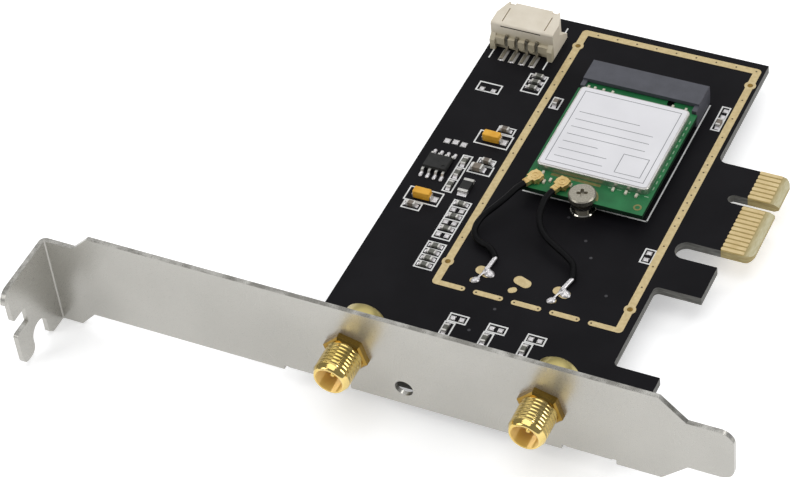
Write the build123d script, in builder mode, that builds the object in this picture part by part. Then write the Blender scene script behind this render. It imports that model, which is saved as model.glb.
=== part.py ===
from build123d import *
from math import cos, radians, sin, tan
import os

os.makedirs("parts", exist_ok=True)

# Sizes are in millimetres. Places across the card run from the board's left edge, places along it run from
# the bracket's front face, and heights run from the board's component side.

# Main board, named from the bracket's end to the far end
board_thickness = 1.6
board_width = 49.2
board_setback = 2.0
board_far = 91.9
waist_step = 0.6
foot_length = 8.0
cutout_length = 18.45
hook_length = 8.05
hook_width = 7.45
hook_slot = 3.85
inner_corner = 0.9
shoulder_corner = 1.4

# Edge connector, placed by its key notch
key_place = 58.46
key_width = 1.9
key_depth = 8.65
tab_length = 12.7
tab_near_half = 12.05
tab_far_half = 7.8
tab_corner = 1.6
bevel_length = 0.85
bevel_depth = 0.45
contact_pitch = 1.0
contact_width = 0.7
contact_length = 4.0
contact_margin = 1.6
contact_corner = 0.2
contact_key_gap = 1.5
near_contacts = 11
far_contacts = 7
copper = 0.05

# Guard ring of bare gold round the radio module
guard_left = 14.7
guard_near = 23.4
guard_margin = 0.65
guard_far_margin = 1.45
guard_width = 1.35
guard_bar_width = 1.05
guard_corner = 0.8
guard_pad = 1.02
guard_pad_inset = 4.45
guard_gaps = 4
guard_bar_pitch = 6.8
guard_bar_gap = 1.5
guard_via = 0.5

# Slot bracket
sheet = 0.86
blade_height = 18.42
blade_lip = 0.54
blade_right = 64.4
shoulder_run = 4.4
shoulder_drop = 3.9
tongue_length = 7.55
tongue_width = 10.19
tongue_corner = 2.3
neck_drop = 3.17
jog_left = -38.3
jog_run = 3.2
low_jog_left = -39.9
low_jog_run = 2.9
end_tab_face = -43.71
end_tab_depth = 13.5
end_tab_corner = 2.2
bend_inside = 0.3
locating_slot_depth = 4.6
locating_slot_width = 3.35
locating_slot_rise = 8.1
screw_notch_width = 4.42
screw_notch_depth = 5.65
screw_notch_place = 6.6
finger_setback = 0.9
finger_rise = 1.0
finger_round = 0.4
slot_mouth_corner = 0.6
lip_chamfer = 1.1
indicator_hole = 3.2
indicator_place = 20.7
indicator_height = 0.73

# Mounting tabs bent from the blade's lower edge, and the screws through the board into them
left_tab_width = 10.5
right_tab_width = 7.6
mount_flange_depth = 2.2
mount_lug_width = 5.6
mount_lug_corner = 2.0
mount_lug_end = 3.2
mount_tab_relief = 0.8
mount_tab_bend = 0.4
relief_height = 1.0
left_tab_place = 4.85
right_tab_place = 52.3
left_mount_place = 3.8
right_mount_place = 52.3
mount_screw_place = 6.4
mount_screw = 3.0
mount_screw_play = 0.1
mount_head = 5.5
mount_head_height = 1.9
mount_screw_tip = 0.5
cross_length = 2.8
cross_width = 0.75
cross_depth = 1.0

# Antenna sockets, on an axis above the board
left_socket_place = 11.35
right_socket_place = 44.9
socket_axis = 6.2
socket_body_width = 7.4
socket_body_length = 6.85
socket_body_chamfer = 0.7
thread_diameter = 6.35
thread_reach = 7.0
thread_nose = 1.0
thread_nose_slope = 27
thread_root = 5.9
socket_bore = 4.6
socket_bore_depth = 5.2
socket_hole_play = 0.1
insulator_diameter = 4.1
insulator_drop = 2.6
insulator_back = 1.0
pin_diameter = 1.27
pin_setback = 1.3
pin_leg = 1.0
pin_place = 5.2
leg_diameter = 1.1
leg_spread = 5.1
leg_near = 3.5
leg_far = 6.9
leg_tip = 1.3
leg_hole_play = 0.2
leg_solder = 0.45
nut_flats = 6.85
nut_thickness = 1.3
nut_chamfer = 0.3
nut_turn = -15

# Four-pin side-entry header
header_place = 6.7
header_setback = 4.4
header_width = 12.0
header_height = 5.5
header_depth = 6.2
header_wall = 0.8
header_back_wall = 1.0
header_corner_cut = (1.1, 3.2)
header_side_height = 3.2
header_pins_count = 4
header_pitch = 1.95
header_pin = 0.5
header_pin_height = 3.1
header_pin_reach = 0.25
header_foot = 3.3
header_cheek = 0.95
header_cheek_reach = 1.0
header_slit = 0.22
header_slit_length = 3.8
header_slit_spread = 8.15
header_groove = 7.7
header_groove_drop = 0.5
header_groove_shift = -0.25
header_strip = 0.7
header_strip_low = 1.3
header_strip_high = 2.8
header_scallop = 0.8
header_channel_play = 0.1
header_notch = 1.1
header_notch_depth = 0.7

# Radio module, held by its socket and one screw
module_offset = 0.425
module_width = 22.0
module_length = 30.0
module_thickness = 0.8
module_lift = 2.2
module_far = 15.05
module_shoulder = 1.075
tongue_board_length = 4.0
module_key_width = 1.2
module_key_place = 5.6
module_pad_pitch = 0.5
module_pad_width = 0.35
module_pad_length = 2.0
shield_width = 20.2
shield_height = 1.25
shield_wall = 0.2
shield_corner = 0.9
shield_near = 4.75
shield_far = 4.55
label_margin = 0.15
label_thickness = 0.08
radio_chip_side = 8.0
radio_chip_height = 0.75
module_chip_size = (0.4, 0.8, 0.35)
near_chips = [(-8.5, 3.95), (-7.5, 2.0), (-6.6, 2.7), (-2.9, 2.6), (4.2, 4.1), (6.5, 4.1), (8.4, 4.0)]
left_chip_insets = [0.6, 1.8, 3.4, 5.1]
right_chip_insets = [1.2, 3.6]
far_chip_drop = 3.6

# Socket that takes the module's edge
slot_wall = 0.83
slot_block_depth = 5.2
slot_height = 4.0
slot_insertion = 2.35
slot_spare = 0.5
slot_arm = 1.5
slot_arm_height = 3.6
contact_beam = 0.25
contact_wire = 0.2
contact_tail = 0.9
peg_diameter = 1.4
peg_spread = 18.5

# Standoff and screw at the module's free end
module_screw_inset = 0.75
module_screw = 2.0
module_notch = 3.5
standoff_flange = 4.4
standoff_flange_height = 0.65
standoff_post = 3.0
standoff_collar = 3.9
standoff_collar_height = 0.6
standoff_shank = 2.8
standoff_play = 0.05
module_screw_head = 4.75
module_screw_head_height = 1.1
module_head_chamfer = 0.2
module_recess = (2.0, 0.6)
module_recess_turn = 20

# Jacks on the module, the plugs clipped on them, and the coax leads
jack_places = [(-9.05, 2.1), (-4.15, 2.1)]
plug_turns = [-119.6, -110.8]
jack_base = 1.9
jack_base_height = 0.35
jack_post = 1.5
jack_post_height = 0.5
plug_head = 2.4
plug_top = 0.35
plug_shoulder = 2.1
plug_tail_width = 1.2
plug_tail_length = 2.4
lead_height = 0.75
lead_diameter = 1.13
lead_in = 1.5
left_lead = [
    (20.2, 43.5, 3.25),
    (18.9, 41.2, 2.6),
    (17.5, 39.2, 1.95),
    (16.95, 36.9, 1.4),
    (17.6, 35.0, 1.1),
    (19.2, 33.7, 0.95),
    (21.1, 33.2, 0.8),
    (22.25, 31.75, 0.6),
]
right_lead = [
    (26.5, 43.2, 3.1),
    (26.9, 41.0, 2.55),
    (27.9, 39.2, 2.25),
    (29.6, 37.65, 2.0),
    (31.9, 36.4, 1.8),
    (34.2, 35.15, 1.55),
    (35.7, 33.9, 1.2),
    (36.25, 31.7, 0.65),
]

# Solder joints of the leads, and the bare gold pads of the spare one between them
joint_places = [(22.1, 28.7), (36.0, 28.6)]
spare_joint = (29.0, 28.65)
braid_diameter = 0.78
core_diameter = 0.35
ground_pad = (3.3, 1.85)
ground_turn = -18
signal_pad = (1.55, 1.15)
signal_shift = (-0.85, -2.25)
signal_turn = 38
ground_mounds = [(0, 0.2, 1.1, 0.85), (0.95, -0.45, 0.75, 0.5), (-0.8, 0.05, 0.65, 0.4)]
signal_mound = (0.75, 0.45)
braid_end = (0.3, 0.55)
core_rise = (0.45, 0.25)

# Chip parts: place across and along the card, and whether the part lies along it
resistor_size = (1.6, 0.8, 0.5)
capacitor_size = (1.6, 0.8, 0.8)
large_capacitor_size = (2.0, 1.25, 0.9)
fuse_size = (3.2, 1.8, 0.75)
end_cap = 0.32
fuse_cap = 0.55
strip_place = 12.0
row_pitch = 1.55
pulldown_start = 26.75
coupling_start = 35.75
header_row_drop = 8.35
upright_place = 8.3
upright_start = 45.6
upright_pitch = 3.07
filter_start = 21.3
filter_pitch = 6.9
filter_near = 14.75
capacitor_places = [(11.8, 61.25, False), (3.95, 39.0, False), (12.0, 52.85, False)]
module_capacitor_rows = [70.65, 74.9]
large_capacitors = [(11.1, 50.85, False)]
fuses = [(11.15, 45.95, True)]

# Moulded tantalum capacitors
tantalum_places = [(10.6, 58.4), (5.0, 41.5)]
tantalum_size = (3.2, 1.6, 1.6)
tantalum_draft = 5
tantalum_round = 0.3
terminal_thickness = 0.12
terminal_width = 1.2
terminal_height = 0.8

# Eight-lead regulator chip
chip_place = (4.3, 49.4)
chip_size = (4.4, 3.4, 1.05)
chip_gap = 0.1
chip_draft = 14
chip_lead_pitch = 1.27
chip_lead_width = 0.42
chip_lead_thickness = 0.2
chip_lead_span = 6.6
chip_dimple = 0.7

# Tinned pads of the unfitted parts
pad_size = (0.9, 0.95)
small_pad_size = (1.1, 1.15)
tantalum_pad = (1.1, 1.3)
pad_spread = 1.55
small_pads = [(3.3, 55.6), (4.85, 55.75), (6.45, 55.6)]
spare_capacitor = 4.7
spare_capacitor_drop = 17.5
spare_capacitor_wider = 0.6
filter_pad_shift = (0.95, 2.6)
left_side_inset = 2.8
side_pad_inset = 2.35
side_pad_places = [41.05, 77.6]

# Derived places
waist = board_width + waist_step
tab_reach = waist + tab_length
tab_near = key_place - tab_near_half
tab_far = key_place + tab_far_half
hook_far = tab_near - hook_slot
hook_near = hook_far - hook_width
foot_far = hook_near - cutout_length
foot_reach = waist + foot_length
hook_reach = waist + hook_length
board_top = board_thickness / 2
board_bottom = -board_top
guard_right = board_width - guard_margin
guard_far = board_far - guard_far_margin
module_sides = [guard_left + left_side_inset, guard_right - side_pad_inset]
module_capacitors = [(x, y, True) for x, y in zip(module_sides, module_capacitor_rows)]
blade_low = -board_thickness - sheet - blade_lip
blade_high = blade_low + blade_height
neck_low = blade_low - neck_drop
neck_high = blade_high - neck_drop
tongue_low = blade_low + (blade_height - tongue_width) / 2
tongue_end = blade_right + shoulder_run + tongue_length
tongue_board_width = module_width - 2 * module_shoulder
guard_middle = (guard_left + guard_right) / 2
module_x = guard_middle + module_offset
module_contact_end = board_far - module_far
module_end = module_contact_end - module_length
module_top = module_lift + module_thickness
shield_length = module_length - shield_near - shield_far
socket_near = module_contact_end - slot_insertion
socket_far = socket_near + slot_block_depth
slot_width = tongue_board_width + 2 * slot_wall
module_screw_y = module_end + module_screw_inset
header_mouth = board_far - header_setback
header_back = header_mouth - header_depth
mount_places = [left_mount_place, right_mount_place]
mount_tabs = [(left_tab_place, left_tab_width), (right_tab_place, right_tab_width)]
socket_places = [left_socket_place, right_socket_place]
leg_places = [
    (x + side * leg_spread / 2, y) for x in socket_places for side in (-1, 1) for y in (leg_near, leg_far)
]
pin_leg_places = [(x, pin_place) for x in socket_places]
peg_places = [(module_x + side * peg_spread / 2, socket_far - slot_block_depth / 3) for side in (-1, 1)]


def card(x, y):
    """A place on the card, seen from above."""
    return (x - tab_reach, y - key_place)


def spot(x, y, height):
    """A place on the card and its height over the board."""
    return (x - tab_reach, y - key_place, board_top + height)


def front(x, height):
    """A point of an upright sketch across the card."""
    return (x - tab_reach, board_top + height)


def side(y, height):
    """A point of an upright sketch along the card."""
    return (y - key_place, board_top + height)


def level(height):
    """The plane over the board at a height."""
    return Plane.XY.offset(board_top + height)


def across(y):
    """The upright plane across the card, facing the bracket's front."""
    return Plane.XZ.offset(key_place - y)


def along(x):
    """The upright plane along the card at a place across it."""
    return Plane.YZ.offset(x - tab_reach)


def nearest(shapes, point):
    """The corner or edge that lies nearest to a point."""
    return shapes.sort_by_distance(point)[0]


def chip_blocks(places, size, low, high):
    """The ends of a chip part's stretch along its length, for each place."""
    for x, y, lies_along in places:
        middle = (low + high) / 2
        shift = (0, middle) if lies_along else (middle, 0)
        turn = 90 if lies_along else 0
        with Locations(Location(spot(x + shift[0], y + shift[1], size[2] / 2), (0, 0, turn))):
            Box(high - low, size[1], size[2])


# Main board with the edge connector's tab, the locating hook and the foot behind the bracket
with BuildPart() as main_board:
    with BuildSketch(Plane.XY.offset(board_bottom)) as outline:
        with BuildLine():
            Polyline(
                card(0, board_setback),
                card(foot_reach, board_setback),
                card(foot_reach, foot_far),
                card(waist, foot_far),
                card(waist, hook_near),
                card(hook_reach, hook_near),
                card(hook_reach, hook_far),
                card(waist, hook_far),
                card(waist, tab_near),
                card(tab_reach, tab_near),
                card(tab_reach, tab_far),
                card(board_width, tab_far),
                card(board_width, board_far),
                card(0, board_far),
                close=True,
            )
        make_face()
        rounded = [
            (waist, foot_far, inner_corner),
            (waist, hook_near, inner_corner),
            (waist, hook_far, 0.48 * hook_slot),
            (waist, tab_near, 0.48 * hook_slot),
            (tab_reach, tab_near, tab_corner),
            (tab_reach, tab_far, tab_corner),
            (board_width, tab_far, shoulder_corner),
        ]
        for x, y, radius in rounded:
            fillet(nearest(outline.vertices(), (*card(x, y), 0)), radius=radius)
        with Locations(card(tab_reach, key_place)):
            SlotOverall(2 * key_depth, key_width, mode=Mode.SUBTRACT)
        with Locations(*[card(x, mount_screw_place) for x in mount_places]):
            Circle(mount_screw / 2 + mount_screw_play, mode=Mode.SUBTRACT)
        with Locations(*[card(x, y) for x, y in leg_places]):
            Circle(leg_diameter / 2 + leg_hole_play, mode=Mode.SUBTRACT)
        with Locations(*[card(x, y) for x, y in pin_leg_places]):
            Circle(pin_leg / 2 + leg_hole_play, mode=Mode.SUBTRACT)
        with Locations(*[card(x, y) for x, y in peg_places]):
            Circle(peg_diameter / 2, mode=Mode.SUBTRACT)
        with Locations(card(module_x, module_screw_y)):
            Circle(standoff_shank / 2 + standoff_play, mode=Mode.SUBTRACT)
    extrude(amount=board_thickness)
    with BuildSketch(across(tab_far)):
        for face in (1, -1):
            with BuildLine():
                Polyline(
                    (0, face * board_top),
                    (-bevel_length, face * board_top),
                    (0, face * (board_top - bevel_depth)),
                    close=True,
                )
            make_face()
    extrude(amount=tab_far - tab_near, mode=Mode.SUBTRACT)
main_board.part.label = "main_board"
export_step(main_board.part, "parts/main_board.step")

# Gold contacts of the edge connector, on both faces of the tab
contact_rows = [key_place - contact_key_gap - i * contact_pitch for i in range(near_contacts)]
contact_rows += [key_place + contact_key_gap + i * contact_pitch for i in range(far_contacts)]
contact_x = tab_reach - contact_margin - contact_length / 2
for face, base in (("front", 0), ("back", -board_thickness - copper)):
    with BuildPart() as edge_contacts:
        with BuildSketch(level(base)):
            with Locations(*[card(contact_x, y) for y in contact_rows]):
                RectangleRounded(contact_length, contact_width, contact_corner)
        extrude(amount=copper)
    edge_contacts.part.label = f"edge_contacts_{face}"
    export_step(edge_contacts.part, f"parts/edge_contacts_{face}.step")

# Guard ring: three bare gold sides with round pads, and a row of bars on the side towards the bracket
with BuildPart() as guard_trace:
    with BuildSketch(level(0)) as ring:
        with Locations(card(guard_middle, (guard_near + guard_far) / 2)):
            RectangleRounded(guard_right - guard_left, guard_far - guard_near, guard_corner)
        inner_near = guard_near + guard_bar_width
        inner_far = guard_far - guard_width
        with Locations(card(guard_middle, (inner_near + inner_far) / 2)):
            Rectangle(guard_right - guard_left - 2 * guard_width, inner_far - inner_near, mode=Mode.SUBTRACT)
        bar_y = guard_near + guard_bar_width / 2
        for i in range(guard_gaps):
            gap_x = guard_middle + (i - (guard_gaps - 1) / 2) * guard_bar_pitch
            gap_half = (guard_bar_gap + guard_bar_width) / 2
            with Locations(card(gap_x, bar_y)):
                Rectangle(2 * gap_half, guard_bar_width, mode=Mode.SUBTRACT)
            with Locations(card(gap_x - gap_half, bar_y), card(gap_x + gap_half, bar_y)):
                Circle(guard_bar_width / 2)
        near_pad = guard_near + guard_pad_inset + guard_pad
        far_pad = guard_far - guard_pad_inset
        strip_middles = (guard_left + guard_width / 2, guard_right - guard_width / 2)
        pad_spots = [card(x, y) for x in strip_middles for y in (near_pad, far_pad)]
        with Locations(*pad_spots):
            Circle(guard_pad)
        with Locations(*pad_spots):
            Circle(guard_via, mode=Mode.SUBTRACT)
    extrude(amount=copper)
guard_trace.part.label = "guard_trace"
export_step(guard_trace.part, "parts/guard_trace.step")

# Bare gold pads under the leads' joints and of the spare joint between them
with BuildPart() as bare_pads:
    with BuildSketch(level(0)):
        for x, y in (*joint_places, spare_joint):
            with Locations(card(x, y)):
                SlotOverall(*ground_pad, rotation=ground_turn)
            with Locations(card(x + signal_shift[0], y + signal_shift[1])):
                SlotOverall(*signal_pad, rotation=signal_turn)
    extrude(amount=copper)
bare_pads.part.label = "bare_pads"
export_step(bare_pads.part, "parts/bare_pads.step")

# Tinned pads of parts that are left off the board
with BuildPart() as solder_pads:
    with BuildSketch(level(0)):
        empty_rows = [coupling_start - row_pitch + 2 * i * row_pitch for i in range(3)]
        pairs = [(strip_place, y, 0) for y in empty_rows]
        filter_rows = [filter_start + filter_pad_shift[0] + i * filter_pitch for i in range(3)]
        pairs += [(x, filter_near + filter_pad_shift[1], 0) for x in filter_rows]
        pairs += [(spare_capacitor, header_mouth - spare_capacitor_drop, spare_capacitor_wider)]
        for x, y, wider in pairs:
            for end in (-1, 1):
                with Locations(card(x + end * (pad_spread + wider) / 2, y)):
                    Rectangle(*pad_size)
        with Locations(*[card(x, y) for x, y in small_pads]):
            Rectangle(*small_pad_size)
        pad_reach = tantalum_size[0] / 2 + terminal_thickness + tantalum_pad[0] / 2
        with Locations(*[card(x + pad_reach, y) for x, y in tantalum_places]):
            Rectangle(*tantalum_pad)
        for y in side_pad_places:
            for end in (-1, 1):
                with Locations(card(guard_right - side_pad_inset, y + end * pad_spread / 2)):
                    Rectangle(pad_size[1], pad_size[0])
    extrude(amount=copper)
solder_pads.part.label = "solder_pads"
export_step(solder_pads.part, "parts/solder_pads.step")

# Slot bracket, folded from one steel sheet
with BuildPart() as bracket:
    with BuildSketch(across(sheet)) as blade:
        with BuildLine():
            Polyline(
                front(end_tab_face - sheet, neck_low),
                front(low_jog_left, neck_low),
                front(low_jog_left + low_jog_run, blade_low),
                front(blade_right, blade_low),
                front(blade_right + shoulder_run, tongue_low),
                front(tongue_end, tongue_low),
                front(tongue_end, tongue_low + tongue_width),
                front(blade_right + shoulder_run, tongue_low + tongue_width),
                front(blade_right, blade_high),
                front(jog_left + jog_run, blade_high),
                front(jog_left, neck_high),
                front(end_tab_face - sheet, neck_high),
                close=True,
            )
        make_face()
        for height in (tongue_low, tongue_low + tongue_width):
            fillet(nearest(blade.vertices(), (*front(tongue_end, height), 0)), radius=tongue_corner)
        for x, tab_width in mount_tabs:
            with Locations(front(x, blade_low + relief_height / 2)):
                Rectangle(tab_width + 2 * mount_tab_relief, relief_height, mode=Mode.SUBTRACT)
            with Locations(front(x, blade_low + (blade_lip + relief_height) / 2)):
                Rectangle(tab_width, relief_height - blade_lip)
        with Locations(*[front(x, socket_axis) for x in socket_places]):
            Circle(thread_diameter / 2 + socket_hole_play, mode=Mode.SUBTRACT)
        with Locations(front(indicator_place, indicator_height)):
            Circle(indicator_hole / 2, mode=Mode.SUBTRACT)
    extrude(amount=sheet)
    with BuildSketch(along(end_tab_face - sheet)) as end_tab:
        with BuildLine():
            Polyline(
                side(sheet, neck_low),
                side(sheet, neck_high),
                side(-end_tab_depth, neck_high),
                side(-end_tab_depth, neck_low),
                close=True,
            )
        make_face()
        fillet(nearest(end_tab.vertices(), (*side(-end_tab_depth, neck_high), 0)), radius=end_tab_corner)
        slot_low = neck_low + locating_slot_rise
        slot_high = slot_low + locating_slot_width
        with Locations(side(-end_tab_depth, slot_low + locating_slot_width / 2)):
            Rectangle(2 * locating_slot_depth, locating_slot_width, mode=Mode.SUBTRACT)
        with Locations(side(-end_tab_depth, slot_low)):
            Rectangle(2 * finger_setback, 2 * locating_slot_rise, mode=Mode.SUBTRACT)
        notch_side = -screw_notch_place - screw_notch_width / 2
        finger_width = end_tab_depth - finger_setback + notch_side
        with Locations(side((notch_side - end_tab_depth) / 2, neck_low)):
            Rectangle(end_tab_depth + notch_side, 2 * finger_rise, mode=Mode.SUBTRACT)
        with Locations(side(-screw_notch_place, neck_low)):
            SlotOverall(2 * screw_notch_depth, screw_notch_width, rotation=90, mode=Mode.SUBTRACT)
        for y in (finger_setback - end_tab_depth, notch_side):
            finger_end = nearest(end_tab.vertices(), (*side(y, neck_low + finger_rise), 0))
            fillet(finger_end, radius=finger_width * finger_round)
        for y, height in ((-end_tab_depth, slot_high), (finger_setback - end_tab_depth, slot_low)):
            fillet(nearest(end_tab.vertices(), (*side(y, height), 0)), radius=slot_mouth_corner)
        lip_corner = side(-screw_notch_place + screw_notch_width / 2, neck_low)
        chamfer(nearest(end_tab.vertices(), (*lip_corner, 0)), length=lip_chamfer)
    extrude(amount=sheet)
    upright = bracket.edges().filter_by(Axis.Z)
    fillet(nearest(upright, spot(end_tab_face - sheet, sheet, neck_high / 2)), radius=bend_inside + sheet)
    upright = bracket.edges().filter_by(Axis.Z)
    fillet(nearest(upright, spot(end_tab_face, 0, neck_high / 2)), radius=bend_inside)
    for (x, tab_width), screw_x in zip(mount_tabs, mount_places):
        with BuildSketch(level(-board_thickness - sheet)) as mount_tab:
            lug_depth = mount_screw_place + mount_lug_end
            with Locations(card(screw_x, lug_depth / 2)):
                Rectangle(mount_lug_width, lug_depth)
            fillet(mount_tab.vertices().group_by(Axis.Y)[-1], radius=mount_lug_corner)
            with Locations(card(x, mount_flange_depth / 2)):
                Rectangle(tab_width, mount_flange_depth)
            with Locations(card(screw_x, mount_screw_place)):
                Circle(mount_screw / 2, mode=Mode.SUBTRACT)
        extrude(amount=sheet)
        lower_edges = bracket.edges().filter_by(Axis.X)
        fillet(nearest(lower_edges, spot(x, 0, -board_thickness - sheet)), radius=mount_tab_bend)
bracket.part.label = "bracket"
export_step(bracket.part, "parts/bracket.step")

# Pan-head screws that hold the board on the bracket's tabs
with BuildPart() as bracket_screws:
    for x in mount_places:
        with BuildSketch(level(0)):
            with Locations(card(x, mount_screw_place)):
                Circle(mount_head / 2)
        extrude(amount=mount_head_height)
        with BuildSketch(level(0)):
            with Locations(card(x, mount_screw_place)):
                Circle(mount_screw / 2)
        extrude(amount=-(board_thickness + sheet + mount_screw_tip))
        head_edges = bracket_screws.edges().filter_by(GeomType.CIRCLE)
        top_centre = spot(x, mount_screw_place, mount_head_height + mount_head)
        fillet(nearest(head_edges, top_centre), radius=mount_head_height / 2)
        with BuildSketch(level(mount_head_height)):
            for turn in (0, 90):
                with Locations(Location((*card(x, mount_screw_place), 0), (0, 0, turn))):
                    Rectangle(cross_length, cross_width)
        extrude(amount=-cross_depth, mode=Mode.SUBTRACT)
bracket_screws.part.label = "bracket_screws"
export_step(bracket_screws.part, "parts/bracket_screws.step")


def socket_plane(x, y):
    """The plane across an antenna socket's axis, facing out of the bracket."""
    return Plane(origin=spot(x, y, socket_axis), x_dir=(1, 0, 0), z_dir=(0, -1, 0))


bore_bottom = -thread_reach + socket_bore_depth
insulator_end = pin_place + insulator_back

# Antenna sockets: a round-topped brass body on the board, with a threaded barrel through the bracket
for name, x in zip(("left", "right"), socket_places):
    with BuildPart() as antenna_socket:
        with BuildSketch(socket_plane(x, sheet)):
            Circle(socket_body_width / 2)
            with Locations((0, -socket_axis / 2)):
                Rectangle(socket_body_width, socket_axis)
        extrude(amount=-socket_body_length)
        back_edges = antenna_socket.faces().sort_by(Axis.Y)[-1].edges()
        chamfer(back_edges.sort_by(Axis.Z)[1:], length=socket_body_chamfer)
        with BuildSketch(socket_plane(x, sheet)):
            Circle(thread_root / 2)
        extrude(amount=sheet + nut_thickness)
        with BuildSketch(socket_plane(x, -nut_thickness)):
            Circle(thread_diameter / 2)
        extrude(amount=thread_reach - thread_nose - nut_thickness)
        with BuildSketch(socket_plane(x, thread_nose - thread_reach)):
            Circle(thread_diameter / 2)
        extrude(amount=thread_nose, taper=thread_nose_slope)
        with BuildSketch(socket_plane(x, -thread_reach)):
            Circle(socket_bore / 2)
        extrude(amount=-socket_bore_depth, mode=Mode.SUBTRACT)
        with BuildSketch(socket_plane(x, bore_bottom)):
            Circle(insulator_diameter / 2)
        extrude(amount=-(insulator_end - bore_bottom), mode=Mode.SUBTRACT)
        with BuildSketch(level(0)):
            with Locations(card(x, pin_place)):
                Circle(insulator_drop / 2)
        extrude(amount=socket_axis, mode=Mode.SUBTRACT)
        with BuildSketch(level(0)):
            leg_columns = (x - leg_spread / 2, x + leg_spread / 2)
            with Locations(*[card(leg_x, y) for leg_x in leg_columns for y in (leg_near, leg_far)]):
                Circle(leg_diameter / 2)
        extrude(amount=-(board_thickness + leg_tip))
    antenna_socket.part.label = f"antenna_socket_{name}"
    export_step(antenna_socket.part, f"parts/antenna_socket_{name}.step")

# Insulators that fill the sockets behind their bores and drop to the board round the centre pins
with BuildPart() as socket_insulators:
    for x in socket_places:
        with BuildSketch(socket_plane(x, bore_bottom)):
            Circle(insulator_diameter / 2)
        extrude(amount=-(insulator_end - bore_bottom))
        with BuildSketch(level(0)):
            with Locations(card(x, pin_place)):
                Circle(insulator_drop / 2)
        extrude(amount=socket_axis)
        with BuildSketch(socket_plane(x, bore_bottom)):
            Circle(pin_diameter / 2)
        extrude(amount=-(pin_place + pin_leg / 2 - bore_bottom), mode=Mode.SUBTRACT)
        with BuildSketch(level(0)):
            with Locations(card(x, pin_place)):
                Circle(pin_leg / 2)
        extrude(amount=socket_axis, mode=Mode.SUBTRACT)
socket_insulators.part.label = "socket_insulators"
export_step(socket_insulators.part, "parts/socket_insulators.step")

# Centre pins, straight along the sockets' axes and down through the board
with BuildPart() as socket_pins:
    for x in socket_places:
        with BuildSketch(socket_plane(x, -thread_reach + pin_setback)):
            Circle(pin_diameter / 2)
        extrude(amount=-(pin_place + pin_leg / 2 + thread_reach - pin_setback))
        round_edges = socket_pins.edges().filter_by(GeomType.CIRCLE)
        chamfer(nearest(round_edges, spot(x, -thread_reach, socket_axis)), length=pin_diameter / 4)
        with BuildSketch(level(-board_thickness - leg_tip)):
            with Locations(card(x, pin_place)):
                Circle(pin_leg / 2)
        extrude(amount=board_thickness + leg_tip + socket_axis)
socket_pins.part.label = "socket_pins"
export_step(socket_pins.part, "parts/socket_pins.step")

# Hexagon nuts that clamp the bracket to the sockets
with BuildPart() as socket_nuts:
    nut_corner = nut_flats / 2 / cos(radians(30))
    for x in socket_places:
        with BuildSketch(socket_plane(x, 0)):
            RegularPolygon(nut_corner, 6, rotation=nut_turn)
        extrude(amount=nut_thickness)
        outer_face = nearest(socket_nuts.faces().filter_by(Axis.Y), spot(x, -nut_thickness, socket_axis))
        chamfer(outer_face.edges(), length=nut_chamfer)
        with BuildSketch(socket_plane(x, 0)):
            Circle(thread_root / 2)
        extrude(amount=nut_thickness, mode=Mode.SUBTRACT)
socket_nuts.part.label = "socket_nuts"
export_step(socket_nuts.part, "parts/socket_nuts.step")

# Solder cones round the sockets' legs on the board's underside
with BuildPart() as socket_solder:
    cone_height = leg_tip / 2
    joints = [(x, y, leg_diameter / 2) for x, y in leg_places]
    joints += [(x, y, pin_leg / 2) for x, y in pin_leg_places]
    for x, y, wire in joints:
        with Locations(spot(x, y, -board_thickness - cone_height / 2)):
            Cone(wire + leg_solder / 5, wire + leg_solder, cone_height)
        with Locations(spot(x, y, -board_thickness - cone_height / 2)):
            Cylinder(wire, cone_height, mode=Mode.SUBTRACT)
socket_solder.part.label = "socket_solder"
export_step(socket_solder.part, "parts/socket_solder.step")

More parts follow.
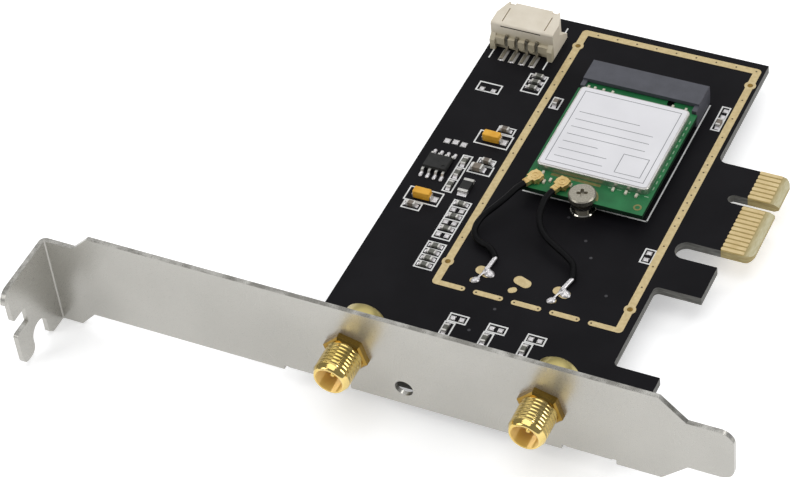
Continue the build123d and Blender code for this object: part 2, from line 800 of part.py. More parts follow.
# Header housing: a shroud open towards the board's far edge, with side cheeks and a strip for the pins
first_pin = header_place - (header_pins_count - 1) / 2 * header_pitch
header_pin_places = [first_pin + i * header_pitch for i in range(header_pins_count)]
with BuildPart() as header_housing:
    header_left = header_place - header_width / 2
    header_right = header_place + header_width / 2
    cut_x, cut_y = header_corner_cut
    with BuildSketch(level(0)):
        with BuildLine():
            Polyline(
                card(header_left, header_back),
                card(header_right, header_back),
                card(header_right, header_mouth - cut_y),
                card(header_right - cut_x, header_mouth),
                card(header_left + cut_x, header_mouth),
                card(header_left, header_mouth - cut_y),
                close=True,
            )
        make_face()
    extrude(amount=header_height)
    level_edges = header_housing.edges().filter_by(Axis.X)
    top_back = nearest(level_edges, spot(header_place, header_back, header_height))
    fillet(top_back, radius=header_wall / 2)
    for x, inward in ((header_left, 1), (header_right, -1)):
        with BuildSketch(along(x)):
            with BuildLine():
                Polyline(
                    side(header_back - header_cheek_reach, 0),
                    side(header_mouth, 0),
                    side(header_mouth, header_side_height / 3),
                    side(header_mouth - cut_y, header_side_height),
                    side(header_back, header_side_height),
                    side(header_back - header_cheek_reach, header_side_height - header_cheek_reach),
                    close=True,
                )
            make_face()
        extrude(amount=inward * header_cheek)
    strip_height = header_strip_high - header_strip_low
    with BuildSketch(across(header_back)):
        with Locations(front(header_place, header_strip_low + strip_height / 2)):
            Rectangle(header_width - 2 * header_cheek, strip_height)
        for i in range(header_pins_count - 1):
            tooth_x = header_pin_places[i] + header_pitch / 2
            with Locations(front(tooth_x, header_strip_low)):
                Rectangle(header_scallop, header_scallop)
    extrude(amount=header_strip)
    channel_top = header_pin_height + header_pin / 2 + header_channel_play
    with BuildSketch(across(header_back)):
        with Locations(*[front(x, channel_top / 2) for x in header_pin_places]):
            Rectangle(header_pin + 2 * header_channel_play, channel_top)
    extrude(amount=header_strip, mode=Mode.SUBTRACT)
    with BuildSketch(across(header_mouth)):
        with Locations(front(header_place, header_height / 2)):
            Rectangle(header_width - 2 * (cut_x + header_wall / 2), header_height - 2 * header_wall)
    extrude(amount=header_depth - header_back_wall, mode=Mode.SUBTRACT)
    for x in header_pin_places:
        with BuildSketch(along(x - header_pin / 2)):
            with BuildLine():
                Polyline(
                    side(header_mouth, header_pin_height),
                    side(header_back - header_pin_reach, header_pin_height),
                    side(header_back - header_pin_reach, 0),
                )
            trace(line_width=header_pin)
        extrude(amount=header_pin, mode=Mode.SUBTRACT)
    with BuildSketch(level(header_height)):
        for end in (-1, 1):
            slit_x = header_place + end * header_slit_spread / 2
            with Locations(card(slit_x, header_back + header_wall + header_slit_length / 2)):
                Rectangle(header_slit, header_slit_length)
            with Locations(card(slit_x, header_mouth)):
                Rectangle(header_notch, 2 * header_notch_depth)
    extrude(amount=-header_wall / 2, mode=Mode.SUBTRACT)
    with BuildSketch(across(header_back)):
        with Locations(front(header_place + header_groove_shift, header_height - header_groove_drop)):
            Rectangle(header_groove, header_slit)
    extrude(amount=-header_wall / 2, mode=Mode.SUBTRACT)
header_housing.part.label = "header_housing"
export_step(header_housing.part, "parts/header_housing.step")

# Header pins: square wires from the shroud, down behind it and out to feet on the board
with BuildPart() as header_pins:
    for x in header_pin_places:
        with BuildSketch(along(x - header_pin / 2)):
            with BuildLine():
                Polyline(
                    side(header_mouth - header_wall, header_pin_height),
                    side(header_back - header_pin_reach, header_pin_height),
                    side(header_back - header_pin_reach, header_pin / 2),
                    side(header_back - header_foot, header_pin / 2),
                )
            trace(line_width=header_pin)
        extrude(amount=header_pin)
header_pins.part.label = "header_pins"
export_step(header_pins.part, "parts/header_pins.step")

# Module socket: a low block with a slot for the module's edge, side arms and two pegs in the board
with BuildPart() as module_socket:
    with BuildSketch(level(0)):
        with Locations(card(module_x, (socket_near + socket_far) / 2)):
            Rectangle(slot_width, slot_block_depth)
    extrude(amount=slot_height)
    rear_top = nearest(module_socket.edges().filter_by(Axis.X), spot(module_x, socket_far, slot_height))
    chamfer(rear_top, length=slot_wall / 3)
    with BuildSketch(level(0)):
        for end in (-1, 1):
            with Locations(card(module_x + end * (slot_width - slot_wall) / 2, socket_near - slot_arm / 2)):
                Rectangle(slot_wall, slot_arm)
    extrude(amount=slot_arm_height)
    with BuildSketch(across(socket_near)):
        with Locations(front(module_x, module_lift + module_thickness / 2)):
            Rectangle(tongue_board_width, module_thickness + 2 * contact_beam)
    extrude(amount=-(slot_insertion + slot_spare), mode=Mode.SUBTRACT)
    with BuildSketch(across(socket_near)):
        with Locations(front(module_x, module_lift / 2 - contact_beam / 2)):
            Rectangle(tongue_board_width, module_lift - contact_beam - 2 * slot_wall)
    extrude(amount=-slot_insertion / 2, mode=Mode.SUBTRACT)
    with BuildSketch(level(0)):
        with Locations(*[card(x, y) for x, y in peg_places]):
            Circle(peg_diameter / 2)
    extrude(amount=-board_thickness)
module_socket.part.label = "module_socket"
export_step(module_socket.part, "parts/module_socket.step")

# Socket contacts: spring beams over and under the module's edge, and tails on the board behind the block
pad_count = int((tongue_board_width - module_pad_width) / module_pad_pitch)
pad_start = module_x - (pad_count - 1) * module_pad_pitch / 2
key_x = module_x + module_key_place
pad_places = [
    pad_start + i * module_pad_pitch
    for i in range(pad_count)
    if abs(pad_start + i * module_pad_pitch - key_x) > module_key_width / 2 + module_pad_width
]
beam_y = module_contact_end - module_pad_length / 2
with BuildPart() as socket_contacts:
    for base in (module_lift - contact_beam, module_top + copper):
        with BuildSketch(level(base)):
            with Locations(*[card(x, beam_y) for x in pad_places]):
                Rectangle(contact_wire, module_pad_length)
        extrude(amount=contact_beam - copper)
    with BuildSketch(level(0)):
        with Locations(*[card(x, socket_far + contact_tail / 2) for x in pad_places]):
            Rectangle(contact_wire, contact_tail)
    extrude(amount=contact_wire)
socket_contacts.part.label = "socket_contacts"
export_step(socket_contacts.part, "parts/socket_contacts.step")

# Radio module's board, with its keyed tongue and the half-round notch for the screw
with BuildPart() as module_board:
    with BuildSketch(level(module_lift)):
        body_length = module_length - tongue_board_length
        with Locations(card(module_x, module_end + body_length / 2)):
            Rectangle(module_width, body_length)
        with Locations(card(module_x, module_contact_end - tongue_board_length / 2)):
            Rectangle(tongue_board_width, tongue_board_length)
        with Locations(card(key_x, module_contact_end)):
            key_cut = 2 * (tongue_board_length - module_key_width / 2)
            SlotOverall(key_cut, module_key_width, rotation=90, mode=Mode.SUBTRACT)
        with Locations(card(module_x, module_screw_y)):
            Circle(module_notch / 2, mode=Mode.SUBTRACT)
        with Locations(card(module_x, module_end)):
            Rectangle(module_notch, 2 * module_screw_inset, mode=Mode.SUBTRACT)
    extrude(amount=module_thickness)
module_board.part.label = "module_board"
export_step(module_board.part, "parts/module_board.step")

# Gold contacts on both faces of the module's tongue
with BuildPart() as module_contacts:
    for base in (module_top, module_lift - copper):
        with BuildSketch(level(base)):
            with Locations(*[card(x, beam_y) for x in pad_places]):
                Rectangle(module_pad_width, module_pad_length)
        extrude(amount=copper)
module_contacts.part.label = "module_contacts"
export_step(module_contacts.part, "parts/module_contacts.step")

# Shield can over the module's circuits, a drawn shell open at the bottom
shield_y = module_end + shield_near + shield_length / 2
with BuildPart() as module_shield:
    with BuildSketch(level(module_top)):
        with Locations(card(module_x, shield_y)):
            RectangleRounded(shield_width, shield_length, shield_corner)
    extrude(amount=shield_height)
    fillet(module_shield.faces().sort_by(Axis.Z)[-1].edges(), radius=shield_wall)
    with BuildSketch(level(module_top)):
        with Locations(card(module_x, shield_y)):
            RectangleRounded(
                shield_width - 2 * shield_wall, shield_length - 2 * shield_wall, shield_corner - shield_wall
            )
    extrude(amount=shield_height - shield_wall, mode=Mode.SUBTRACT)
module_shield.part.label = "module_shield"
export_step(module_shield.part, "parts/module_shield.step")

# Radio chip under the can
with BuildPart() as radio_chip:
    with BuildSketch(level(module_top)):
        with Locations(card(module_x, shield_y)):
            Rectangle(radio_chip_side, radio_chip_side)
    extrude(amount=radio_chip_height)
radio_chip.part.label = "radio_chip"
export_step(radio_chip.part, "parts/radio_chip.step")

# Label on the can's lid
with BuildPart() as module_label:
    with BuildSketch(level(module_top + shield_height)):
        with Locations(card(module_x, shield_y)):
            RectangleRounded(
                shield_width - 2 * (shield_wall + label_margin),
                shield_length - 2 * (shield_wall + label_margin),
                shield_corner - shield_wall,
            )
    extrude(amount=label_thickness)
module_label.part.label = "module_label"
export_step(module_label.part, "parts/module_label.step")

# Small chip parts on the strips of the module that the can leaves bare
tongue_half = tongue_board_width / 2
far_chips = [inset - tongue_half for inset in left_chip_insets]
far_chips += [tongue_half - inset for inset in right_chip_insets]
module_chip_places = [card(module_x + x, module_end + y) for x, y in near_chips]
module_chip_places += [card(module_x + x, module_contact_end - far_chip_drop) for x in far_chips]
with BuildPart() as module_chips:
    with BuildSketch(level(module_top)):
        with Locations(*module_chip_places):
            Rectangle(module_chip_size[0], module_chip_size[1])
    extrude(amount=module_chip_size[2])
module_chips.part.label = "module_chips"
export_step(module_chips.part, "parts/module_chips.step")

# Antenna jacks on the module
jack_spots = [(module_x + x, module_end + y) for x, y in jack_places]
with BuildPart() as antenna_jacks:
    with BuildSketch(level(module_top)):
        with Locations(*[card(x, y) for x, y in jack_spots]):
            Rectangle(jack_base, jack_base)
    extrude(amount=jack_base_height)
    with BuildSketch(level(module_top + jack_base_height)):
        with Locations(*[card(x, y) for x, y in jack_spots]):
            Circle(jack_post / 2)
    extrude(amount=jack_post_height)
antenna_jacks.part.label = "antenna_jacks"
export_step(antenna_jacks.part, "parts/antenna_jacks.step")

# Stamped plugs clipped on the jacks, each with a crimped tail towards its lead
with BuildPart() as antenna_plugs:
    for (x, y), turn in zip(jack_spots, plug_turns):
        with BuildSketch(level(module_top + jack_base_height)):
            with Locations(Location((*card(x, y), 0), (0, 0, turn))):
                Circle(plug_head / 2)
            with Locations(Location((*card(x, y), 0), (0, 0, turn))):
                Rectangle(plug_shoulder, plug_shoulder)
            with Locations(Location((*card(x, y), 0), (0, 0, turn))):
                Rectangle(plug_tail_length, plug_tail_width, align=(Align.MIN, Align.CENTER))
        extrude(amount=jack_post_height + plug_top)
        with BuildSketch(level(module_top + jack_base_height)):
            with Locations(card(x, y)):
                Circle(jack_post / 2)
        extrude(amount=jack_post_height, mode=Mode.SUBTRACT)
antenna_plugs.part.label = "antenna_plugs"
export_step(antenna_plugs.part, "parts/antenna_plugs.step")


def bend_radii(points):
    """The largest arc that each corner's two runs allow."""
    radii = []
    for before, corner, after in zip(points, points[1:], points[2:]):
        run_in = Vector(*corner) - Vector(*before)
        run_out = Vector(*after) - Vector(*corner)
        shorter = min(run_in.length, run_out.length)
        radii.append(0.45 * shorter / tan(radians(run_in.get_angle(run_out) / 2)))
    return radii


# Coax leads from the plugs' tails to the solder joints on the board
for name, (x, y), turn, route in zip(("left", "right"), jack_spots, plug_turns, (left_lead, right_lead)):
    aim_x = cos(radians(turn))
    aim_y = sin(radians(turn))
    runs = [plug_tail_length, plug_tail_length + lead_in]
    points = [spot(x + run * aim_x, y + run * aim_y, module_top + lead_height) for run in runs]
    points += [spot(*point) for point in route]
    with BuildPart() as antenna_lead:
        with BuildLine() as path:
            FilletPolyline(*points, radius=bend_radii(points))
        with BuildSketch(Plane(origin=path.line @ 0, z_dir=path.line % 0)):
            Circle(lead_diameter / 2)
        sweep()
    antenna_lead.part.label = f"antenna_lead_{name}"
    export_step(antenna_lead.part, f"parts/antenna_lead_{name}.step")


def solder_cap(x, y, radius, height):
    """A round solder mound on the board, as a ball that the board's face cuts later."""
    ball = (radius**2 + height**2) / (2 * height)
    with Locations(spot(x, y, copper + height - ball)):
        Sphere(ball)


def straight_wire(start, end, diameter):
    """A straight round wire between two places, with a round end."""
    run = Vector(*end) - Vector(*start)
    with Locations(Plane(origin=start, z_dir=run).location):
        Cylinder(diameter / 2, run.length, align=(Align.CENTER, Align.CENTER, Align.MIN))
    with Locations(end):
        Sphere(diameter / 2)


# Soldered ends of the leads: tinned braid on a ground pad, and the core on a signal pad
with BuildPart() as lead_joints:
    for (x, y), route in zip(joint_places, (left_lead, right_lead)):
        core = (x + signal_shift[0], y + signal_shift[1])
        braid_start = Vector(*spot(*route[-1]))
        braid_run = (braid_start - Vector(*spot(*route[-2]))).normalized()
        elbow = braid_start + braid_run * braid_diameter * 0.55
        straight_wire(tuple(braid_start), tuple(elbow), braid_diameter)
        straight_wire(tuple(elbow), spot(x, y + braid_end[0], braid_end[1]), braid_diameter)
        straight_wire(spot(x, y, core_rise[0]), spot(*core, core_rise[1]), core_diameter)
        for shift_x, shift_y, radius, height in ground_mounds:
            solder_cap(x + shift_x, y + shift_y, radius, height)
        solder_cap(*core, *signal_mound)
    split(bisect_by=level(copper), keep=Keep.TOP)
lead_joints.part.label = "lead_joints"
export_step(lead_joints.part, "parts/lead_joints.step")

# Standoff pressed into the board, and the flat-head screw that holds the module on it
with BuildPart() as standoff:
    with BuildSketch(level(0)):
        with Locations(card(module_x, module_screw_y)):
            Circle(standoff_flange / 2)
    extrude(amount=standoff_flange_height)
    chamfer(standoff.edges().group_by(Axis.Z)[-1], length=standoff_flange_height / 4)
    with BuildSketch(level(-board_thickness)):
        with Locations(card(module_x, module_screw_y)):
            Circle(standoff_shank / 2)
    extrude(amount=board_thickness)
    with BuildSketch(level(0)):
        with Locations(card(module_x, module_screw_y)):
            Circle(standoff_post / 2)
    extrude(amount=module_lift)
    with BuildSketch(level(module_lift)):
        with Locations(card(module_x, module_screw_y)):
            Circle(standoff_collar / 2)
    extrude(amount=-standoff_collar_height)
    with BuildSketch(level(-board_thickness)):
        with Locations(card(module_x, module_screw_y)):
            Circle(module_screw / 2)
    extrude(amount=board_thickness + module_lift, mode=Mode.SUBTRACT)
standoff.part.label = "standoff"
export_step(standoff.part, "parts/standoff.step")

with BuildPart() as module_screw_part:
    with BuildSketch(level(module_top)):
        with Locations(card(module_x, module_screw_y)):
            Circle(module_screw_head / 2)
    extrude(amount=module_screw_head_height)
    chamfer(module_screw_part.edges().group_by(Axis.Z)[-1], length=module_head_chamfer)
    with BuildSketch(level(module_top)):
        with Locations(card(module_x, module_screw_y)):
            Circle(module_screw / 2)
    extrude(amount=-(module_top + board_thickness / 2))
    with BuildSketch(level(module_top + module_screw_head_height)):
        for turn in (module_recess_turn, module_recess_turn + 90):
            with Locations(Location((*card(module_x, module_screw_y), 0), (0, 0, turn))):
                SlotOverall(*module_recess)
    extrude(amount=-module_screw_head_height / 2, mode=Mode.SUBTRACT)
module_screw_part.part.label = "module_screw"
export_step(module_screw_part.part, "parts/module_screw.step")

# Chip resistors and capacitors, and the plated caps on their ends
strip_rows = [pulldown_start + i * row_pitch for i in range(4)]
strip_rows += [coupling_start + 2 * i * row_pitch for i in range(3)]
strip_rows += [header_back - header_row_drop + i * row_pitch for i in range(3)]
resistor_places = [(strip_place, y, False) for y in strip_rows]
resistor_places += [(upright_place, upright_start + i * upright_pitch, True) for i in range(3)]
resistor_places += [(filter_start + i * filter_pitch, filter_near, True) for i in range(3)]
with BuildPart() as chip_resistors:
    resistor_half = resistor_size[0] / 2 - end_cap
    chip_blocks(resistor_places, resistor_size, -resistor_half, resistor_half)
chip_resistors.part.label = "chip_resistors"
export_step(chip_resistors.part, "parts/chip_resistors.step")

with BuildPart() as chip_capacitors:
    for places, size in (
        (capacitor_places + module_capacitors, capacitor_size),
        (large_capacitors, large_capacitor_size),
    ):
        chip_blocks(places, size, end_cap - size[0] / 2, size[0] / 2 - end_cap)
chip_capacitors.part.label = "chip_capacitors"
export_step(chip_capacitors.part, "parts/chip_capacitors.step")

with BuildPart() as fuse:
    chip_blocks(fuses, fuse_size, fuse_cap - fuse_size[0] / 2, fuse_size[0] / 2 - fuse_cap)
fuse.part.label = "fuse"
export_step(fuse.part, "parts/fuse.step")

with BuildPart() as chip_end_caps:
    for places, size, cap in (
        (resistor_places, resistor_size, end_cap),
        (capacitor_places + module_capacitors, capacitor_size, end_cap),
        (large_capacitors, large_capacitor_size, end_cap),
        (fuses, fuse_size, fuse_cap),
    ):
        for low in (-size[0] / 2, size[0] / 2 - cap):
            chip_blocks(places, size, low, low + cap)
chip_end_caps.part.label = "chip_end_caps"
export_step(chip_end_caps.part, "parts/chip_end_caps.step")

# Moulded tantalum capacitors, drafted from their parting line, on folded terminals
with BuildPart() as tantalum_capacitors:
    for x, y in tantalum_places:
        for direction in (1, -1):
            half = (tantalum_size[2] - terminal_thickness) / 2
            with BuildSketch(level(terminal_thickness + half)):
                with Locations(card(x, y)):
                    RectangleRounded(tantalum_size[0], tantalum_size[1], tantalum_round)
            extrude(amount=direction * half, taper=tantalum_draft)
    fillet(tantalum_capacitors.edges().group_by(Axis.Z)[-1], radius=tantalum_round / 2)
tantalum_capacitors.part.label = "tantalum_capacitors"
export_step(tantalum_capacitors.part, "parts/tantalum_capacitors.step")

with BuildPart() as tantalum_terminals:
    for x, y in tantalum_places:
        for end in (-1, 1):
            with BuildSketch(across(y - terminal_width / 2)):
                with BuildLine():
                    end_x = x + end * (tantalum_size[0] / 2 + terminal_thickness / 2)
                    Polyline(
                        front(end_x, terminal_height),
                        front(end_x, terminal_thickness / 2),
                        front(end_x - end * tantalum_size[0] / 4, terminal_thickness / 2),
                    )
                trace(line_width=terminal_thickness)
            extrude(amount=-terminal_width)
tantalum_terminals.part.label = "tantalum_terminals"
export_step(tantalum_terminals.part, "parts/tantalum_terminals.step")

# Regulator chip: a moulded body drafted from its parting line, with eight gull-wing leads
chip_x, chip_y = chip_place
chip_middle = chip_gap + chip_size[2] / 2
with BuildPart() as regulator_chip:
    for direction in (1, -1):
        with BuildSketch(level(chip_middle)):
            with Locations(card(chip_x, chip_y)):
                Rectangle(chip_size[0], chip_size[1])
        extrude(amount=direction * chip_size[2] / 2, taper=chip_draft)
    with BuildSketch(level(chip_gap + chip_size[2])):
        dimple_x = chip_x + chip_size[0] / 2 - chip_dimple
        with Locations(card(dimple_x, chip_y - chip_size[1] / 2 + chip_dimple)):
            Circle(chip_dimple / 2)
    extrude(amount=-chip_gap, mode=Mode.SUBTRACT)
regulator_chip.part.label = "regulator_chip"
export_step(regulator_chip.part, "parts/regulator_chip.step")

with BuildPart() as regulator_leads:
    for i in range(4):
        lead_x = chip_x + (i - 1.5) * chip_lead_pitch
        for end in (-1, 1):
            body_side = chip_y + end * chip_size[1] / 2
            lead_out = (chip_lead_span - chip_size[1]) / 2
            with BuildSketch(along(lead_x - chip_lead_width / 2)):
                with BuildLine():
                    Polyline(
                        side(body_side, chip_middle),
                        side(body_side + end * lead_out * 0.35, chip_middle),
                        side(body_side + end * lead_out * 0.5, chip_lead_thickness / 2),
                        side(body_side + end * lead_out, chip_lead_thickness / 2),
                    )
                trace(line_width=chip_lead_thickness)
            extrude(amount=chip_lead_width)
regulator_leads.part.label = "regulator_leads"
export_step(regulator_leads.part, "parts/regulator_leads.step")
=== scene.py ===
import math

import bmesh
import bpy
from mathutils import Euler, Matrix, Vector


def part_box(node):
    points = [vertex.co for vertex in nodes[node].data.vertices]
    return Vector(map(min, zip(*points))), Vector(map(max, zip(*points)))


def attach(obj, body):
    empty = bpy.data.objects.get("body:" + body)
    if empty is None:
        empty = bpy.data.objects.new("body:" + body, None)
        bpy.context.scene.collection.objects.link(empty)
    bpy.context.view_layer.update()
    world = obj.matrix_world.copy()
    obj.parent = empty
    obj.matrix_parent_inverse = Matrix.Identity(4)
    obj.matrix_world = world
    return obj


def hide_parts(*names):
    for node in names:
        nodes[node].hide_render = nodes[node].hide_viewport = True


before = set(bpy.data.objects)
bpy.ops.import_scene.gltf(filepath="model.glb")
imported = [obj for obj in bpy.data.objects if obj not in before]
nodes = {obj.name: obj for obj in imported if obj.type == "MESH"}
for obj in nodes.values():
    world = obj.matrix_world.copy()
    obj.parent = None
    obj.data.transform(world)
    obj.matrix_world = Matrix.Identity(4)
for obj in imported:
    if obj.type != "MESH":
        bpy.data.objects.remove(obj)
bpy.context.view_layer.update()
scene = bpy.context.scene
scene.view_settings.view_transform = "Standard"

# Places are in millimetres on the card: across from the board's left edge, along from the bracket's front
# face, and up from the component side.
EDGE_X, KEY_Y, BOARD_TOP = 62.5, 58.46, 0.8


def at(x, y, h=0.0):
    """A place on the card, in the frame's metres."""
    return Vector(((x - EDGE_X) / 1000, (y - KEY_Y) / 1000, (h + BOARD_TOP) / 1000))


# Camera at the photograph's angle
camera_data = bpy.data.cameras.new("camera")
camera_data.lens = 128.2128
camera_data.sensor_width = 36
camera_data.sensor_fit = "HORIZONTAL"
camera_data.clip_start = 0.01
camera = bpy.data.objects.new("camera", camera_data)
camera.location = (0.11158, -0.31827, 0.33477)
camera.rotation_euler = Euler([math.radians(a) for a in (44.9520, 5.3349, 24.8950)], "XYZ")
scene.collection.objects.link(camera)
scene.camera = camera


def hex_color(text):
    """A colour written as in a paint chart, in linear light."""
    parts = [int(text[i:i + 2], 16) / 255 for i in (0, 2, 4)]
    return tuple(p / 12.92 if p <= 0.04045 else ((p + 0.055) / 1.055) ** 2.4 for p in parts) + (1.0,)


# Parts of the noise's range that show as clouds and as grain
CLOUD, GRAIN = (0.3, 0.7), (0.25, 0.75)


class Look:
    """One procedural material, built up node by node."""

    def __init__(self, name, **sockets):
        self.material = bpy.data.materials.new(name)
        self.material.use_nodes = True
        self.tree = self.material.node_tree
        self.shader = self.tree.nodes["Principled BSDF"]
        for socket, value in sockets.items():
            self.shader.inputs[socket.replace("_", " ")].default_value = value
        self.place = self.node("ShaderNodeTexCoord").outputs["Object"]

    def node(self, kind, **values):
        made = self.tree.nodes.new(kind)
        for key, value in values.items():
            setattr(made, key, value)
        return made

    def feed(self, source, target):
        if isinstance(source, bpy.types.NodeSocket):
            self.tree.links.new(source, target)
        else:
            target.default_value = source

    def noise(self, scale, detail=3.0, stretch=(1, 1, 1)):
        """Cloudy noise, its features about 1000 / scale millimetres across."""
        mapping = self.node("ShaderNodeMapping")
        mapping.inputs["Scale"].default_value = stretch
        self.feed(self.place, mapping.inputs["Vector"])
        texture = self.node("ShaderNodeTexNoise")
        texture.inputs["Scale"].default_value = scale
        texture.inputs["Detail"].default_value = detail
        self.feed(mapping.outputs["Vector"], texture.inputs["Vector"])
        return texture.outputs["Fac"]

    def spread(self, value, low, high, to_low=0.0, to_high=1.0):
        made = self.node("ShaderNodeMapRange")
        for socket, number in zip(("From Min", "From Max", "To Min", "To Max"), (low, high, to_low, to_high)):
            made.inputs[socket].default_value = number
        self.feed(value, made.inputs["Value"])
        return made.outputs["Result"]

    def math(self, operation, a, b=0.0):
        made = self.node("ShaderNodeMath", operation=operation)
        self.feed(a, made.inputs[0])
        self.feed(b, made.inputs[1])
        return made.outputs["Value"]

    def mix(self, share, a, b):
        made = self.node("ShaderNodeMix", data_type="RGBA")
        self.feed(share, made.inputs["Factor"])
        self.feed(a, made.inputs["A"])
        self.feed(b, made.inputs["B"])
        return made.outputs["Result"]

    def axis(self, source, letter):
        made = self.node("ShaderNodeSeparateXYZ")
        self.feed(source, made.inputs["Vector"])
        return made.outputs[letter]

    def level(self, limit):
        """One on faces that look up or down more than the limit, and zero on the others."""
        upward = self.axis(self.node("ShaderNodeNewGeometry").outputs["True Normal"], "Z")
        return self.math("GREATER_THAN", self.math("ABSOLUTE", upward), limit)

    def color(self, source):
        self.feed(source, self.shader.inputs["Base Color"])

    def rough(self, source):
        self.feed(source, self.shader.inputs["Roughness"])

    def bump(self, height, strength, distance):
        """Fine relief; the distance is in millimetres."""
        made = self.node("ShaderNodeBump")
        made.inputs["Strength"].default_value = strength
        made.inputs["Distance"].default_value = distance / 1000
        self.feed(height, made.inputs["Height"])
        self.feed(made.outputs["Normal"], self.shader.inputs["Normal"])


def plain_look(name, dark, light, cloud, grain, rough, bump=(0.3, 0.01), **sockets):
    """A finish with two shades in soft clouds, a fine grain in its roughness, and a fine relief."""
    made = Look(name, **sockets)
    clouds = made.spread(made.noise(cloud), *CLOUD)
    made.color(made.mix(clouds, hex_color(dark), hex_color(light)))
    fine = made.noise(grain, 4.0)
    made.rough(made.spread(fine, *GRAIN, *rough))
    made.bump(fine, *bump)
    return made.material


# How level a board's faces and the bracket's sheared edges lie
FLAT, SHEARED = 0.8, 0.3
# Where the mask ends on the edge connector's tab, and where its bare laminate turns paler
MASK_END, TAB_NEAR, PALE_START, PALE_END = 57.0, 46.0, 60.7, 61.9


def board_look():
    """Black solder mask on both faces, bare laminate round the contacts, and grey fibres on the cut edges."""
    made = Look("board", Specular_IOR_Level=0.08)
    fine = made.noise(9000, 3.0)
    clouds = made.spread(made.noise(90), 0.35, 0.65)
    mask = made.mix(clouds, hex_color("100F12"), hex_color("161518"))
    x_place = made.axis(made.place, "X")
    weave = made.spread(made.noise(2600, 3.0, (1, 0.25, 1)), *CLOUD)
    inner = made.mix(weave, hex_color("9C8854"), hex_color("AC9862"))
    outer = made.mix(weave, hex_color("B8B08C"), hex_color("C8C2A4"))
    laminate = made.mix(made.spread(x_place, at(PALE_START, 0).x, at(PALE_END, 0).x), inner, outer)
    strata = made.spread(made.noise(1500, 4.0, (0.35, 0.35, 5)), *CLOUD)
    cut = made.mix(strata, hex_color("4A4A47"), hex_color("787773"))
    cut_bare = made.mix(strata, hex_color("8E7C50"), hex_color("B5A87C"))
    past_mask = made.math("GREATER_THAN", x_place, at(MASK_END, 0).x)
    over_near = made.math("GREATER_THAN", made.axis(made.place, "Y"), at(0, TAB_NEAR).y)
    tab = made.math("MULTIPLY", past_mask, over_near)
    flat = made.level(FLAT)
    face = made.mix(tab, mask, laminate)
    side = made.mix(tab, cut, cut_bare)
    made.color(made.mix(flat, side, face))
    made.rough(made.spread(fine, *GRAIN, 0.45, 0.58))
    made.bump(made.math("ADD", fine, made.noise(700, 2.0)), 0.1, 0.01)
    return made.material


def module_look():
    """Green solder mask, with painted shade on its cut sides."""
    made = Look("module_mask", Specular_IOR_Level=0.2)
    clouds = made.spread(made.noise(260), *CLOUD)
    mask = made.mix(clouds, hex_color("1F6138"), hex_color("2A7546"))
    # Painted shade: the cut sides are a dark green
    side = made.mix(clouds, hex_color("122519"), hex_color("1C3525"))
    flat = made.level(FLAT)
    made.color(made.mix(flat, side, mask))
    fine = made.noise(9000, 4.0)
    made.rough(made.spread(fine, *GRAIN, 0.32, 0.45))
    made.bump(fine, 0.2, 0.01)
    return made.material


def steel_look():
    """Satin plated sheet with a faint mottle, and sheared edges with painted glints in light and dark
    patches.
    """
    made = Look("bracket_steel", Metallic=0.75)
    clouds = made.spread(made.noise(60, 4.0), *CLOUD)
    sheet = made.mix(clouds, hex_color("B3B1AB"), hex_color("BBB9B3"))
    # Painted glints: light and dark patches on the sheared edges
    glint_spread = made.spread(made.noise(420, 3.0), 0.38, 0.68)
    painted_edge_glints = made.mix(glint_spread, hex_color("86847E"), hex_color("BFBDB7"))
    edge = made.level(SHEARED)
    made.color(made.mix(edge, sheet, painted_edge_glints))
    grain = made.noise(7000, 4.0)
    made.rough(made.spread(grain, 0.2, 0.8, 0.24, 0.34))
    made.bump(grain, 0.08, 0.006)
    return made.material


# The antenna sockets' axes, bore and the start of the barrel, in card millimetres
LEFT_SOCKET, RIGHT_SOCKET, SOCKET_AXIS, BORE_RADIUS, BARREL_START = 11.35, 44.9, 6.2, 2.4, -0.5


def socket_look():
    """Gold on brass: bright on the barrel, with painted shade in the duller gold behind the bracket and
    painted light in the bright amber bore.
    """
    made = Look("socket_gold")
    clouds = made.spread(made.noise(200), *CLOUD)
    # Painted shade: the body behind the bracket is a duller gold. Painted light: the bore is a bright amber
    # that shows little metal
    barrel = made.mix(clouds, hex_color("DCBE66"), hex_color("EDD48E"))
    body = made.mix(clouds, hex_color("B8A866"), hex_color("CEBF82"))
    bore = made.mix(clouds, hex_color("E9B950"), hex_color("F6CE74"))
    x, y, z = (made.axis(made.place, letter) for letter in "XYZ")
    middle = (at(LEFT_SOCKET, 0).x + at(RIGHT_SOCKET, 0).x) / 2
    half = (RIGHT_SOCKET - LEFT_SOCKET) / 2000
    aside = made.math("SUBTRACT", made.math("ABSOLUTE", made.math("SUBTRACT", x, middle)), half)
    above = made.math("SUBTRACT", z, at(0, 0, SOCKET_AXIS).z)
    square = made.math("ADD", made.math("MULTIPLY", aside, aside), made.math("MULTIPLY", above, above))
    near_axis = made.math("LESS_THAN", square, (BORE_RADIUS / 1000) ** 2)
    in_front = made.math("LESS_THAN", y, at(0, BARREL_START).y)
    inside = made.math("MULTIPLY", near_axis, in_front)
    outer = made.mix(in_front, body, barrel)
    made.color(made.mix(inside, outer, bore))
    plating = made.spread(in_front, 0, 1, 0.72, 0.97)
    plated = made.math("MULTIPLY", plating, made.spread(inside, 0, 1, 1.0, 0.15))
    made.feed(plated, made.shader.inputs["Metallic"])
    fine = made.noise(9000, 4.0)
    polish = made.spread(in_front, 0, 1, 0.28, 0.09)
    made.rough(made.math("ADD", polish, made.spread(fine, *GRAIN, 0.0, 0.06)))
    made.bump(fine, 0.1, 0.004)
    return made.material


# Where painted shade darkens the header's lower back, and where painted shade darkens the groove under its
# top's rear edge
BACK_FACE, LOW_START, LOW_END = 81.4, 2.6, 4.6
GROOVE_NEAR, GROOVE_FAR, GROOVE_LEVEL, GROOVE_MIDDLE = 81.31, 81.8, 5.0, 6.45
GROOVE_HEIGHT, GROOVE_LENGTH = 0.26, 7.8


